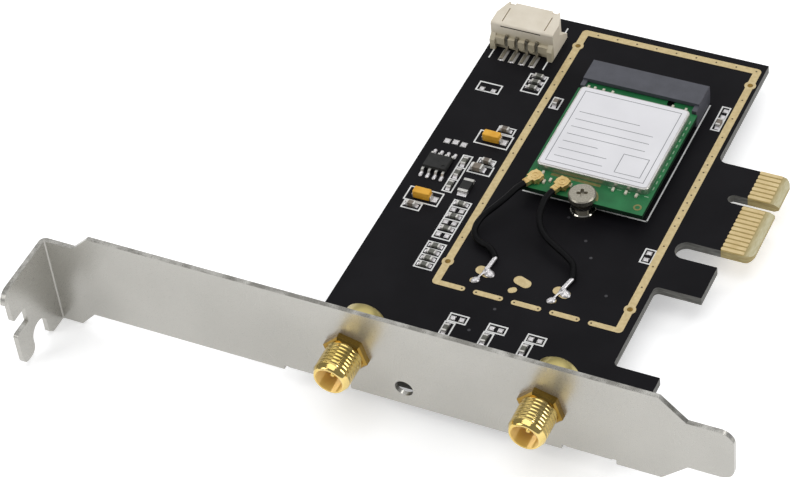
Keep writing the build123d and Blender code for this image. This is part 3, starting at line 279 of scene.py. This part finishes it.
def nylon_look():
    """Cream moulding, with painted shade low down at the back and painted shade inside the groove under the
    top's rear edge.
    """
    made = Look("nylon")
    clouds = made.spread(made.noise(350), *CLOUD)
    cream = made.mix(clouds, hex_color("D7CDBA"), hex_color("E1D8C7"))
    # Painted shade: a darker cream low on the back, and dark brown inside the groove
    shaded_low_cream = made.mix(clouds, hex_color("B2A88F"), hex_color("BFB59C"))
    groove_painted_shade = hex_color("4A4334")
    x, y, z = (made.axis(made.place, letter) for letter in "XYZ")
    behind = made.math("LESS_THAN", y, at(0, BACK_FACE).y)
    lower = made.spread(z, at(0, 0, LOW_START).z, at(0, 0, LOW_END).z, 1.0, 0.0)
    low = made.math("MULTIPLY", behind, lower)
    past_near = made.math("GREATER_THAN", y, at(0, GROOVE_NEAR).y)
    before_far = made.math("LESS_THAN", y, at(0, GROOVE_FAR).y)
    sunk = made.math("MULTIPLY", past_near, before_far)
    off_level = made.math("ABSOLUTE", made.math("SUBTRACT", z, at(0, 0, GROOVE_LEVEL).z))
    off_middle = made.math("ABSOLUTE", made.math("SUBTRACT", x, at(GROOVE_MIDDLE, 0).x))
    thin = made.math("LESS_THAN", off_level, GROOVE_HEIGHT / 2000)
    within = made.math("LESS_THAN", off_middle, GROOVE_LENGTH / 2000)
    slot = made.math("MULTIPLY", thin, within)
    made.color(made.mix(made.math("MULTIPLY", sunk, slot), made.mix(low, cream, shaded_low_cream), groove_painted_shade))
    fine = made.noise(6000, 4.0)
    made.rough(made.spread(fine, *GRAIN, 0.45, 0.6))
    made.bump(fine, 0.25, 0.02)
    return made.material


LOOKS = {
    "board": board_look(),
    "steel": steel_look(),
    "silk": plain_look("silkscreen", "D4D4D2", "E8E8E6", 900, 14000, (0.5, 0.7)),
    "trace": plain_look("pale_gold", "C5B082", "D5C294", 1500, 9000, (0.36, 0.5), Metallic=0.6),
    "finger": plain_look("contact_gold", "CDB582", "DDC898", 500, 9000, (0.3, 0.42), Metallic=0.6),
    "gold": plain_look(
        "polished_gold", "D6B65A", "E8CE80", 200, 9000, (0.16, 0.24), (0.1, 0.004), Metallic=0.95),
    # Painted shade: the nuts' gold is a darker copy of the sockets' gold
    "nut": plain_look("nut_gold_painted_shade", "86692A", "A38440", 200, 9000, (0.07, 0.13), (0.1, 0.004), Metallic=0.97),
    "socket": socket_look(),
    "plug": plain_look("plug_gold", "C4A362", "DFC48A", 700, 9000, (0.24, 0.36), Metallic=0.8),
    "well": plain_look("hole_plating", "6E5521", "9A7A34", 900, 9000, (0.35, 0.5), Metallic=0.6),
    "tin": plain_look("tin", "BDBBB6", "DDDBD6", 900, 9000, (0.28, 0.42), Metallic=0.7),
    "solder": plain_look("solder", "C2BFC0", "DFDCDD", 800, 5000, (0.28, 0.42), (0.3, 0.02), Metallic=0.7),
    "nickel": plain_look("nickel", "C0BBAD", "D8D3C5", 1200, 9000, (0.24, 0.36), Metallic=0.95),
    "grainy": plain_look(
        "grainy_nickel", "8E897D", "B2AD9F", 4500, 9000, (0.3, 0.5), (0.5, 0.015), Metallic=0.95),
    "polished": plain_look(
        "polished_nickel", "ABA79D", "C4C0B6", 600, 9000, (0.06, 0.12), (0.1, 0.004), Metallic=0.97),
    "nylon": nylon_look(),
    "slate": plain_look("slate", "42434A", "4B4C54", 400, 7000, (0.42, 0.55), (0.3, 0.02)),
    "green": module_look(),
    "can": plain_look("can", "BDBCB8", "CFCDC8", 250, 8000, (0.25, 0.36), Metallic=0.95),
    "label": plain_look("label_film", "DBDADD", "E3E2E5", 120, 9000, (0.42, 0.55), (0.1, 0.005)),
    "rule": plain_look("label_rule", "77787C", "8A8B8E", 600, 9000, (0.5, 0.6)),
    "black": plain_look(
        "chip_black", "1C1C1B", "282827", 700, 9000, (0.5, 0.65), (0.5, 0.02), Specular_IOR_Level=0.3),
    "glaze": plain_look("resistor_glaze", "45453F", "6B6B62", 1500, 9000, (0.3, 0.45)),
    "ceramic": plain_look("ceramic", "5E554C", "84796C", 900, 9000, (0.4, 0.55)),
    "pale": plain_look("pale_ceramic", "B4B09E", "CFCBBA", 900, 9000, (0.4, 0.55)),
    "amber": plain_look(
        "tantalum", "D69A28", "E6AF3E", 500, 8000, (0.35, 0.5), (0.3, 0.02), Specular_IOR_Level=0.3),
    "jacket": plain_look("jacket", "060607", "0B0B0D", 800, 9000, (0.4, 0.52), Specular_IOR_Level=0.1),
    "via": plain_look("via", "3A2E14", "54431F", 900, 9000, (0.5, 0.6)),
    "tent": plain_look("tented_via", "26252A", "302F33", 900, 9000, (0.3, 0.4)),
    "white": plain_look("insulator", "DAD6CC", "EAE7DF", 400, 9000, (0.4, 0.5)),
    "ring": plain_look("muted_gold", "6E6A3C", "8A8450", 900, 9000, (0.35, 0.5), Metallic=0.4),
    "mark": plain_look("pale_mark", "6F9676", "94AF94", 900, 9000, (0.4, 0.5)),
}

NODE_LOOKS = {
    "board": ["main_board"],
    "steel": ["bracket"],
    "trace": ["guard_trace", "bare_pads"],
    "finger": ["edge_contacts_front", "edge_contacts_back", "module_contacts"],
    "gold": ["socket_pins"],
    "nut": ["socket_nuts"],
    "socket": ["antenna_socket_left", "antenna_socket_right"],
    "plug": ["antenna_jacks", "antenna_plugs"],
    "tin": ["solder_pads", "chip_end_caps", "tantalum_terminals", "regulator_leads", "socket_contacts"],
    "solder": ["lead_joints", "socket_solder"],
    "nickel": ["bracket_screws"],
    "grainy": ["module_screw", "header_pins"],
    "polished": ["standoff"],
    "nylon": ["header_housing"],
    "slate": ["module_socket"],
    "green": ["module_board"],
    "can": ["module_shield"],
    "label": ["module_label"],
    "black": ["radio_chip", "regulator_chip", "fuse"],
    "glaze": ["chip_resistors"],
    "ceramic": ["chip_capacitors"],
    "pale": ["module_chips"],
    "amber": ["tantalum_capacitors"],
    "jacket": ["antenna_lead_left", "antenna_lead_right"],
    "white": ["socket_insulators"],
}
for look, names in NODE_LOOKS.items():
    for name in names:
        for place in nodes[name].material_slots:
            place.link = "OBJECT"
            place.material = LOOKS[look]


def piece(name, bm, look):
    """A new mesh piece on the card, from a bmesh in the frame's metres."""
    bmesh.ops.recalc_face_normals(bm, faces=bm.faces)
    mesh = bpy.data.meshes.new(name)
    bm.to_mesh(mesh)
    bm.free()
    mesh.materials.append(LOOKS[look])
    made = bpy.data.objects.new(name, mesh)
    scene.collection.objects.link(made)
    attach(made, "root")
    return made


def smooth(made):
    """Shade a piece as one rounded surface."""
    for face in made.data.polygons:
        face.use_smooth = True


def prism(bm, outline, low, high):
    """An upright closed prism over an outline on the card."""
    rings = [[bm.verts.new(at(x, y, h)) for x, y in outline] for h in (low, high)]
    bm.faces.new(rings[0][::-1])
    bm.faces.new(rings[1])
    for i in range(len(outline)):
        j = (i + 1) % len(outline)
        bm.faces.new((rings[0][i], rings[0][j], rings[1][j], rings[1][i]))


def stroke(bm, start, end, width, low, high):
    """A straight line of ink."""
    along = (Vector(end) - Vector(start)).normalized() * width / 2
    aside = Vector((-along.y, along.x))
    a, b = Vector(start) - along, Vector(end) + along
    prism(bm, [tuple(p) for p in (a - aside, b - aside, b + aside, a + aside)], low, high)


def box_line(bm, x0, y0, x1, y1, width, low, high):
    """The outline of a rectangle, as one closed ring of ink."""
    loops = []
    for out in (width / 2, -width / 2):
        corners = [(x0 - out, y0 - out), (x1 + out, y0 - out), (x1 + out, y1 + out), (x0 - out, y1 + out)]
        loops.append([[bm.verts.new(at(x, y, h)) for x, y in corners] for h in (low, high)])
    (out_low, out_high), (in_low, in_high) = loops
    for i in range(4):
        j = (i + 1) % 4
        bm.faces.new((out_high[i], out_high[j], in_high[j], in_high[i]))
        bm.faces.new((out_low[j], out_low[i], in_low[i], in_low[j]))
        bm.faces.new((out_low[i], out_low[j], out_high[j], out_high[i]))
        bm.faces.new((in_low[j], in_low[i], in_high[i], in_high[j]))


def disc(bm, x, y, radius, low, high, sides=14):
    """A flat round dot."""
    turns = [2 * math.pi * i / sides for i in range(sides)]
    prism(bm, [(x + radius * math.cos(t), y + radius * math.sin(t)) for t in turns], low, high)


def ring(bm, x, y, inner, outer, low, high, start=0.0, sweep=360.0, steps=36):
    """A flat ring, or an arc of one with closed ends."""
    whole = sweep >= 360
    count = steps if whole else steps + 1
    columns = []
    for i in range(count):
        turn = math.radians(start + sweep * i / steps)
        columns.append([
            bm.verts.new(at(x + r * math.cos(turn), y + r * math.sin(turn), h))
            for r, h in ((inner, low), (outer, low), (outer, high), (inner, high))])
    for i in range(steps):
        here, after = columns[i], columns[(i + 1) % count]
        for j in range(4):
            k = (j + 1) % 4
            bm.faces.new((here[j], here[k], after[k], after[j]))
    if not whole:
        bm.faces.new(columns[0][::-1])
        bm.faces.new(columns[-1])


# Silkscreen outlines round the small parts, the module and the header
INK = (0.26, 0.0, 0.015)
SILK_BOXES = [
    (2.62, 69.5, 6.8, 71.7), (7.8, 56.9, 13.9, 60.1), (10.5, 60.4, 13.5, 62.1), (16.7, 69.3, 18.3, 72.05),
    (10.4, 51.9, 13.4, 53.6), (9.65, 49.8, 13.7, 52.0), (2.05, 40.1, 8.2, 43.25), (2.46, 38.15, 5.7, 39.8),
    (45.35, 39.5, 47.15, 42.7),
]
for shift in (0, 6.9, 13.75):
    SILK_BOXES.append((20.75 + shift, 16.6, 23.9 + shift, 18.3))
    SILK_BOXES.append((20.6 + shift, 13.4, 22.3 + shift, 16.3))
SILK_COLUMNS = [
    (10.3, 71.7, 13.58, 76.45, 3), (7.47, 44.07, 9.15, 53.28, 3), (10.5, 33.3, 13.6, 42.7, 6),
    (10.4, 26.0, 13.6, 32.2, 4), (45.26, 73.3, 46.7, 79.35, 2),
]
SILK_LINES = [
    ((43.07, 78.9), (43.07, 48.6)), ((43.07, 48.6), (20.6, 48.65)),
    ((11.86, 78.16), (11.86, 80.5)), ((1.43, 78.1), (1.43, 80.3)), ((11.86, 88.4), (11.86, 89.7)),
]
ink = bmesh.new()
for box in SILK_BOXES:
    box_line(ink, *box, *INK)
for x0, y0, x1, y1, rows in SILK_COLUMNS:
    box_line(ink, x0, y0, x1, y1, *INK)
    for i in range(1, rows):
        y = y0 + (y1 - y0) * i / rows
        stroke(ink, (x0 + INK[0], y), (x1 - INK[0], y), *INK)
for start, end in SILK_LINES:
    stroke(ink, start, end, *INK)
piece("silkscreen", ink, "silk")

# Via dots along the guard ring, and tented vias under the mask
COPPER = 0.05
LEFT_STRIP, RIGHT_STRIP, FAR_STRIP, NEAR_BARS = 15.375, 47.875, 89.775, 23.925
GAP_MIDDLE, GAP_PITCH, GAP_END = 31.625, 6.8, 1.275
VIA_RADIUS, WELL_RADIUS, TENT_RADIUS = 0.17, 0.49, 0.28
VIA_FILM, WELL_FILM, TENT_FILM = 0.008, 0.02, 0.012
TENTS = [(27.1, 21.5), (25.0, 15.8), (37.5, 37.6), (43.1, 30.4), (35.2, 41.0), (30.4, 45.2)]


def row(first, pitch, count):
    """Evenly spaced places on a line."""
    return [first + pitch * i for i in range(count)]


dot_places = [(LEFT_STRIP, y) for y in row(34.8, 8.6, 3) + row(56.5, 3.7, 8)]
dot_places += [(RIGHT_STRIP, y) for y in row(34.15, 5.0, 4) + row(51.1, 1.95, 8) + row(66.95, 5.0, 4)]
dot_places += [(x, FAR_STRIP) for x in row(17.75, 3.74, 9)]
for gap in row(GAP_MIDDLE - 1.5 * GAP_PITCH, GAP_PITCH, 4):
    dot_places += [(gap - GAP_END, NEAR_BARS), (gap + GAP_END, NEAR_BARS)]
dots = bmesh.new()
for x, y in dot_places:
    disc(dots, x, y, VIA_RADIUS, COPPER, COPPER + VIA_FILM)
piece("via_dots", dots, "via")
wells = bmesh.new()
for x in (LEFT_STRIP, RIGHT_STRIP):
    for y in (28.87, 86.0):
        disc(wells, x, y, WELL_RADIUS, 0.0, WELL_FILM, 20)
piece("pad_wells", wells, "well")
tents = bmesh.new()
for x, y in TENTS:
    disc(tents, x, y, TENT_RADIUS, 0.0, TENT_FILM)
piece("tented_vias", tents, "tent")

# Threaded antenna sockets: the solid's barrel with a helical thread in place of its plain wall
THREAD = {"radius": 3.175, "root": 3.11, "pitch": 0.705, "near": -1.3, "far": -6.0, "rows": 10}
RUN_IN, RUN_OUT, CREST, FLANK, SHARP_ANGLE = 0.25, 0.35, 0.15, 0.7, 35
# Points closer than this, in metres, are one
WELD = 1e-7


def threaded_socket(name, x):
    """The socket's solid with a helical thread joined in where its plain wall was."""
    axis = at(x, 0, SOCKET_AXIS)
    near, far = at(0, THREAD["near"]).y, at(0, THREAD["far"]).y
    slack = 2e-5
    bm = bmesh.new()
    bm.from_mesh(nodes[name].data)
    bmesh.ops.remove_doubles(bm, verts=bm.verts, dist=WELD)

    def turn_of(vert):
        return math.atan2(vert.co.z - axis.z, vert.co.x - axis.x)

    def on_wall(vert):
        radius = math.hypot(vert.co.x - axis.x, vert.co.z - axis.z)
        return abs(radius - THREAD["radius"] / 1000) < slack and far - slack < vert.co.y < near + slack

    plain = []
    for face in bm.faces:
        if all(on_wall(v) for v in face.verts) and abs(face.normal.y) < 0.1:
            plain.append(face)
    bmesh.ops.delete(bm, geom=plain, context="FACES")
    rims = []
    for y in (near, far):
        rim = [vert for vert in bm.verts if vert.is_boundary and abs(vert.co.y - y) < slack]
        rims.append(sorted(rim, key=turn_of))
    near_rim, far_rim = rims
    turns = [turn_of(vert) for vert in near_rim]
    length = THREAD["near"] - THREAD["far"]
    steps = round(length / THREAD["pitch"] * THREAD["rows"])
    rings = [near_rim]
    for j in range(1, steps):
        down = length * j / steps
        fade = min(1.0, down / RUN_IN, (length - down) / RUN_OUT)
        coil = []
        for turn in turns:
            wave = abs(2 * ((down / THREAD["pitch"] + turn / (2 * math.pi)) % 1.0) - 1)
            depth = min(max((wave - CREST) / FLANK, 0.0), 1.0) * fade
            radius = THREAD["radius"] - (THREAD["radius"] - THREAD["root"]) * depth
            coil.append(bm.verts.new(at(
                x + radius * math.cos(turn), THREAD["near"] - down, SOCKET_AXIS + radius * math.sin(turn))))
        rings.append(coil)
    rings.append(far_rim)
    for upper, lower in zip(rings, rings[1:]):
        for i in range(len(turns)):
            j = (i + 1) % len(turns)
            bm.faces.new((upper[i], lower[i], lower[j], upper[j]))
    made = piece(name + "_threaded", bm, "socket")
    smooth(made)
    made.data.set_sharp_from_angle(angle=math.radians(SHARP_ANGLE))
    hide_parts(name)


threaded_socket("antenna_socket_left", LEFT_SOCKET)
threaded_socket("antenna_socket_right", RIGHT_SOCKET)

# Coax leads on smooth lines through the solids' route
MODULE_X, MODULE_END, LEAD_Z = 32.05, 46.85, 3.75
LEAD_THICK, LEAD_RUNS = 1.13, (2.4, 3.9)
LEADS = {
    "antenna_lead_left": ((-9.05, 2.1), -119.6, [
        (20.2, 43.5, 3.25), (18.9, 41.2, 2.6), (17.5, 39.2, 1.95), (16.95, 36.9, 1.4), (17.6, 35.0, 1.1),
        (19.2, 33.8, 0.95), (21.5, 33.5, 0.8), (22.8, 31.75, 0.62)]),
    "antenna_lead_right": ((-4.15, 2.1), -110.8, [
        (26.5, 43.2, 3.1), (26.9, 41.0, 2.55), (27.9, 39.2, 2.25), (29.6, 37.65, 2.0), (31.9, 36.4, 1.8),
        (34.4, 35.15, 1.55), (36.2, 33.9, 1.2), (36.7, 31.5, 0.65)]),
}


def heading(turn):
    """The way that a plug points, from its turn in degrees."""
    return math.cos(math.radians(turn)), math.sin(math.radians(turn))


for name, ((jack_x, jack_y), turn, route) in LEADS.items():
    aim_x, aim_y = heading(turn)
    x, y = MODULE_X + jack_x, MODULE_END + jack_y
    starts = [(x + run * aim_x, y + run * aim_y, LEAD_Z) for run in LEAD_RUNS]
    curve = bpy.data.curves.new(name + "_jacket", "CURVE")
    curve.dimensions = "3D"
    curve.bevel_depth = LEAD_THICK / 2000
    curve.bevel_resolution = 6
    curve.resolution_u = 16
    curve.use_fill_caps = True
    line = curve.splines.new("NURBS")
    points = starts + route
    line.points.add(len(points) - 1)
    for point, spot in zip(line.points, points):
        point.co = (*at(*spot), 1.0)
    line.order_u = 3
    line.use_endpoint_u = True
    curve.materials.append(LOOKS["jacket"])
    lead = bpy.data.objects.new(name + "_jacket", curve)
    scene.collection.objects.link(lead)
    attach(lead, "root")
    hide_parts(name)

# Solder joints of the leads: braid, drop, bare core and end drop melted into one smooth form
JOINTS = [
    ((22.4, 28.7), LEADS["antenna_lead_left"][2][-1]),
    ((36.0, 28.65), LEADS["antenna_lead_right"][2][-1]),
]
DROPS = [
    (0.0, 0.4, 0.3, 0.48), (0.35, 0.1, 0.25, 0.54), (0.1, 0.05, -0.3, 0.85), (0.7, -0.2, -0.35, 0.95),
    (1.05, -0.35, -0.25, 0.72), (-0.62, -1.8, 0.12, 0.32), (-0.9, -2.2, -0.25, 0.75),
    (-1.12, -2.45, -0.22, 0.66),
]
CORE = ((-0.25, -0.35, 0.3), (-0.65, -1.6, 0.22), 0.18)
BRAID_END, BRAID_RADIUS = (0.05, 0.65, 0.42), 0.38
BEAD_STEP, MELT_VOXEL, MELT_WELD = 0.4, 0.07, 2e-6


def beads(start, end, radius):
    """Balls in a row, close enough to melt into a rod."""
    start, end = Vector(start), Vector(end)
    count = math.ceil((end - start).length / (radius * BEAD_STEP))
    return [(*start.lerp(end, i / count), radius) for i in range(count + 1)]


def melted(name, balls):
    """A smooth closed form round balls that are given in card millimetres, cut off at the pads."""
    heap = bmesh.new()
    for x, y, h, radius in balls:
        place = Matrix.Translation((x, y, h))
        bmesh.ops.create_icosphere(heap, subdivisions=3, radius=radius, matrix=place)
    mesh = bpy.data.meshes.new(name)
    heap.to_mesh(mesh)
    heap.free()
    mould = bpy.data.objects.new(name, mesh)
    scene.collection.objects.link(mould)
    melt = mould.modifiers.new("melt", "REMESH")
    melt.mode = "VOXEL"
    melt.voxel_size = MELT_VOXEL
    relax = mould.modifiers.new("relax", "SMOOTH")
    relax.factor, relax.iterations = 0.5, 5
    graph = bpy.context.evaluated_depsgraph_get()
    relaxed = bpy.data.meshes.new_from_object(mould.evaluated_get(graph))
    bm = bmesh.new()
    bm.from_mesh(relaxed)
    bpy.data.objects.remove(mould)
    for vert in bm.verts:
        vert.co = at(*vert.co)
    everything = bm.verts[:] + bm.edges[:] + bm.faces[:]
    bmesh.ops.bisect_plane(
        bm, geom=everything, plane_co=at(0, 0, COPPER), plane_no=(0, 0, 1), clear_inner=True)
    bmesh.ops.remove_doubles(bm, verts=bm.verts, dist=MELT_WELD)
    bmesh.ops.holes_fill(bm, edges=[edge for edge in bm.edges if edge.is_boundary])
    return bm


balls = []
for (joint_x, joint_y), lead_end in JOINTS:
    balls += [(joint_x + x, joint_y + y, h, radius) for x, y, h, radius in DROPS]
    balls += [(joint_x + x, joint_y + y, h, radius) for x, y, h, radius in beads(*CORE)]
    braid_low = (joint_x + BRAID_END[0], joint_y + BRAID_END[1], BRAID_END[2])
    balls += beads(lead_end, braid_low, BRAID_RADIUS)
joints = piece("solder_joints", melted("solder_joints", balls), "solder")
smooth(joints)
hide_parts("lead_joints")

# Solder fillets at the chip parts' ends, found from the frame's own solids
END_CAPS = {"chip_resistors": 0.32, "chip_capacitors": 0.32, "fuse": 0.55}
FILLET = [(0.0, 0.42), (0.1, 0.24), (0.28, 0.1), (0.52, 0.03)]
FILLET_SHARE = 0.95


def solid_boxes(name):
    """The lowest and highest corners of each separate solid in a node, in card millimetres."""
    bm = bmesh.new()
    bm.from_mesh(nodes[name].data)
    bmesh.ops.remove_doubles(bm, verts=bm.verts, dist=WELD)
    waiting = set(bm.verts)
    boxes = []
    while waiting:
        group = [waiting.pop()]
        for vert in group:
            for edge in vert.link_edges:
                other = edge.other_vert(vert)
                if other in waiting:
                    waiting.remove(other)
                    group.append(other)
        spots = [vert.co * 1000 + Vector((EDGE_X, KEY_Y, -BOARD_TOP)) for vert in group]
        boxes.append([Vector(pick(spot[i] for spot in spots) for i in range(3)) for pick in (min, max)])
    bm.free()
    return boxes


def fillet(bm, foot, outward, width):
    """A hollow slope of solder from a chip's end down to its pad."""
    across = Vector((-outward.y, outward.x)) * width / 2
    rows = []
    for out, height in FILLET + [(FILLET[-1][0], 0.0), (0.0, 0.0)]:
        spot = foot + outward * out
        ends = [(spot.x + side.x, spot.y + side.y) for side in (-across, across)]
        rows.append([bm.verts.new(at(x, y, height)) for x, y in ends])
    for here, after in zip(rows, rows[1:] + rows[:1]):
        bm.faces.new((here[0], here[1], after[1], after[0]))
    bm.faces.new([pair[0] for pair in rows])
    bm.faces.new([pair[1] for pair in rows][::-1])


fillets = bmesh.new()
for name, cap in END_CAPS.items():
    for low, high in solid_boxes(name):
        middle, size = (low + high) / 2, high - low
        lies_along = size.y > size.x
        half, width = (size.y / 2, size.x) if lies_along else (size.x / 2, size.y)
        for end in (-1, 1):
            outward = Vector((0, end)) if lies_along else Vector((end, 0))
            fillet(fillets, middle.xy + outward * (half + cap), outward, FILLET_SHARE * width)
piece("chip_solder", fillets, "solder")

# Tinned lands under the header's feet, and solder round those feet and the regulator's
PIN_COUNT, PIN_HALF = 4, 0.25
LAND_START, LAND_WIDTH = 0.5, 1.2
FOOT_START, FOOT_END, FOOT_SINK, FOOT_BEAD = 0.2, 2.3, -0.2, 0.5
LEG_START, LEG_END, LEG_BEAD = 0.05, 0.75, 0.36
feet = []
lands = bmesh.new()
pins_low, pins_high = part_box("header_pins")
foot_tip = pins_low[1] * 1000 + KEY_Y
first_pin = (pins_low[0] + PIN_HALF / 1000) * 1000 + EDGE_X
last_pin = (pins_high[0] - PIN_HALF / 1000) * 1000 + EDGE_X
for i in range(PIN_COUNT):
    x = first_pin + (last_pin - first_pin) * i / (PIN_COUNT - 1)
    stroke(lands, (x, foot_tip + LAND_START), (x, foot_tip + FOOT_END), LAND_WIDTH, 0.0, COPPER)
    feet += beads((x, foot_tip + FOOT_START, FOOT_SINK), (x, foot_tip + FOOT_END, FOOT_SINK), FOOT_BEAD)
piece("header_lands", lands, "tin")
chip_low, chip_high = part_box("regulator_chip")
chip_middle = (chip_low[1] + chip_high[1]) / 2 * 1000 + KEY_Y
for low, high in solid_boxes("regulator_leads"):
    x = (low.x + high.x) / 2
    tip, inward = (high.y, -1) if low.y > chip_middle else (low.y, 1)
    feet += beads((x, tip + LEG_START * inward, 0.0), (x, tip + LEG_END * inward, 0.0), LEG_BEAD)
foot_solder = piece("foot_solder", melted("foot_solder", feet), "solder")
smooth(foot_solder)

# Cushions of solder on the tinned pads that carry no part
DOME_RINGS = ((0.97, 0.0), (0.86, 0.5), (0.64, 0.85), (0.32, 1.0))
DOME_SIDES, DOME_HEIGHT = 24, 0.14


def dome(bm, low, high):
    """A cushion of solder over a bare pad."""
    middle, half = (low + high) / 2, (high - low) / 2
    loops = []
    for share, rise in DOME_RINGS:
        loop = []
        for i in range(DOME_SIDES):
            turn = 2 * math.pi * i / DOME_SIDES
            c, s = math.cos(turn), math.sin(turn)
            reach = share / (c ** 4 + s ** 4) ** 0.25
            x, y = middle.x + half.x * reach * c, middle.y + half.y * reach * s
            loop.append(bm.verts.new(at(x, y, high.z + DOME_HEIGHT * rise)))
        loops.append(loop)
    bm.faces.new(loops[0][::-1])
    bm.faces.new(loops[-1])
    for here, after in zip(loops, loops[1:]):
        for i in range(DOME_SIDES):
            j = (i + 1) % DOME_SIDES
            bm.faces.new((here[i], here[j], after[j], after[i]))


standing = []
for name in ("chip_end_caps", "tantalum_terminals", "regulator_leads"):
    standing += solid_boxes(name)
domes = bmesh.new()
for low, high in solid_boxes("solder_pads"):
    taken = any(a.x < high.x and b.x > low.x and a.y < high.y and b.y > low.y for a, b in standing)
    if not taken:
        dome(domes, low, high)
pad_domes = piece("pad_domes", domes, "solder")
smooth(pad_domes)

# Raised rings and crimps on the plugs
PLUG_TOP, PLUG_RING, PLUG_CORE = 4.2, (0.5, 0.82), 0.26
CRIMP_RUNS, CRIMP_HALF, CRIMP_WIDTH = (1.45, 2.1), 0.42, 0.26
RING_RISE, CORE_RISE, CRIMP_RISE = 0.07, 0.05, 0.06
rims = bmesh.new()
for (jack_x, jack_y), turn, _ in LEADS.values():
    x, y = MODULE_X + jack_x, MODULE_END + jack_y
    aim = Vector(heading(turn))
    aside = Vector((-aim.y, aim.x))
    ring(rims, x, y, *PLUG_RING, PLUG_TOP, PLUG_TOP + RING_RISE)
    disc(rims, x, y, PLUG_CORE, PLUG_TOP, PLUG_TOP + CORE_RISE, 20)
    for run in CRIMP_RUNS:
        crimp = Vector((x, y)) + aim * run
        start, end = tuple(crimp - aside * CRIMP_HALF), tuple(crimp + aside * CRIMP_HALF)
        stroke(rims, start, end, CRIMP_WIDTH, PLUG_TOP, PLUG_TOP + CRIMP_RISE)
piece("plug_rims", rims, "plug")

# Plated marks on the module: a ring round its screw, a test ring, and a bar and ticks along the can's foot
MODULE_TOP, MODULE_FILM = 3.0, 0.02
TICK_LENGTH, TICK_WIDTH, TICK_FILM = 0.55, 0.2, 0.03
plated = bmesh.new()
ring(plated, MODULE_X, MODULE_END + 0.75, 1.78, 2.7, MODULE_TOP, MODULE_TOP + MODULE_FILM, 0, 180)
ring(plated, 41.6, 48.45, 0.42, 0.72, MODULE_TOP, MODULE_TOP + MODULE_FILM)
stroke(plated, (25.2, 51.15), (33.6, 51.15), 0.6, MODULE_TOP, MODULE_TOP + MODULE_FILM)
piece("module_rings", plated, "ring")
ticks = bmesh.new()
for y in row(53.2, 1.56, 12):
    stroke(ticks, (42.5, y), (42.5, y + TICK_LENGTH), TICK_WIDTH, MODULE_TOP, MODULE_TOP + TICK_FILM)
for x in row(35.3, 1.63, 5):
    stroke(ticks, (x, 51.3), (x + TICK_LENGTH, 51.3), TICK_WIDTH, MODULE_TOP, MODULE_TOP + TICK_FILM)
piece("module_ticks", ticks, "mark")

# Plain rules and an empty field on the module's label
label_low, label_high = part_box("module_label")
LABEL_RULE, LABEL_TOP = 0.12, label_high[2] * 1000 - BOARD_TOP
LABEL_MARGIN, FIELD_FAR, FIELD_NEAR = 0.9, 5.6, 1.0
RULE_FIRST, RULE_PITCH, RULE_INSET = 1.6, 1.9, 1.0
RULE_SHARES = (0.55, 0.55, 0.4, 0.9, 0.9, 0.9, 0.7)
x0, x1 = label_low[0] * 1000 + EDGE_X + LABEL_MARGIN, label_high[0] * 1000 + EDGE_X - LABEL_MARGIN
y0, y1 = label_low[1] * 1000 + KEY_Y + LABEL_MARGIN, label_high[1] * 1000 + KEY_Y - LABEL_MARGIN
rule_ink = (LABEL_RULE, LABEL_TOP, LABEL_TOP + 0.01)
rules = bmesh.new()
box_line(rules, x0, y0, x1, y1, *rule_ink)
box_line(rules, x1 - FIELD_FAR, y0 + FIELD_NEAR, x1 - FIELD_NEAR, y0 + FIELD_FAR, *rule_ink)
for i, share in enumerate(RULE_SHARES):
    y = y0 + RULE_FIRST + RULE_PITCH * i
    rule_start = x0 + RULE_INSET
    rule_end = rule_start + share * (x1 - x0 - 2 * RULE_INSET)
    stroke(rules, (rule_start, y), (rule_end, y), *rule_ink)
piece("label_rules", rules, "rule")

# A pale floor under the bracket's lowest edge
floor_mesh = bpy.data.meshes.new("floor")
FLOOR_HALF, FLOOR_Z = 3.0, -0.0054
corners = [(x * FLOOR_HALF, y * FLOOR_HALF, FLOOR_Z) for x, y in ((-1, -1), (1, -1), (1, 1), (-1, 1))]
floor_mesh.from_pydata(corners, [], [(0, 1, 2, 3)])
floor = bpy.data.objects.new("floor", floor_mesh)
scene.collection.objects.link(floor)
floor_look = Look("floor", Roughness=0.9, Specular_IOR_Level=0.1)
floor_look.color(hex_color("F4F4F4"))
floor_look.shader.inputs["Emission Color"].default_value = (1, 1, 1, 1)
floor_look.shader.inputs["Emission Strength"].default_value = 0.4
floor_mesh.materials.append(floor_look.material)


def softbox(name, place, aim, size, power):
    """A rectangular lamp turned towards a place."""
    lamp = bpy.data.lights.new(name, "AREA")
    lamp.shape = "RECTANGLE"
    lamp.size, lamp.size_y = size
    lamp.energy = power
    made = bpy.data.objects.new(name, lamp)
    made.location = place
    made.rotation_euler = (Vector(aim) - Vector(place)).to_track_quat("-Z", "Y").to_euler()
    scene.collection.objects.link(made)


MIDDLE = (-0.04, -0.02, 0.0)
softbox("overhead", (-0.1, -0.15, 0.95), MIDDLE, (0.9, 0.7), 3.2)
softbox("rear", (-0.15, 0.85, 0.8), MIDDLE, (1.5, 1.0), 3.6)
softbox("front_left", (-0.75, -0.75, 0.55), MIDDLE, (0.6, 0.6), 3.2)
softbox("right", (0.9, 0.1, 0.5), MIDDLE, (0.5, 0.6), 4.0)
softbox("glint_right", (0.25, 0.5, 0.75), MIDDLE, (0.16, 0.16), 0.5)
softbox("glint_left", (-0.8, 0.5, 0.35), MIDDLE, (0.25, 0.25), 0.8)

world = bpy.data.worlds.new("studio")
world.use_nodes = True
world.node_tree.nodes["Background"].inputs["Color"].default_value = (0.9, 0.92, 0.95, 1)
world.node_tree.nodes["Background"].inputs["Strength"].default_value = 0.27
scene.world = world
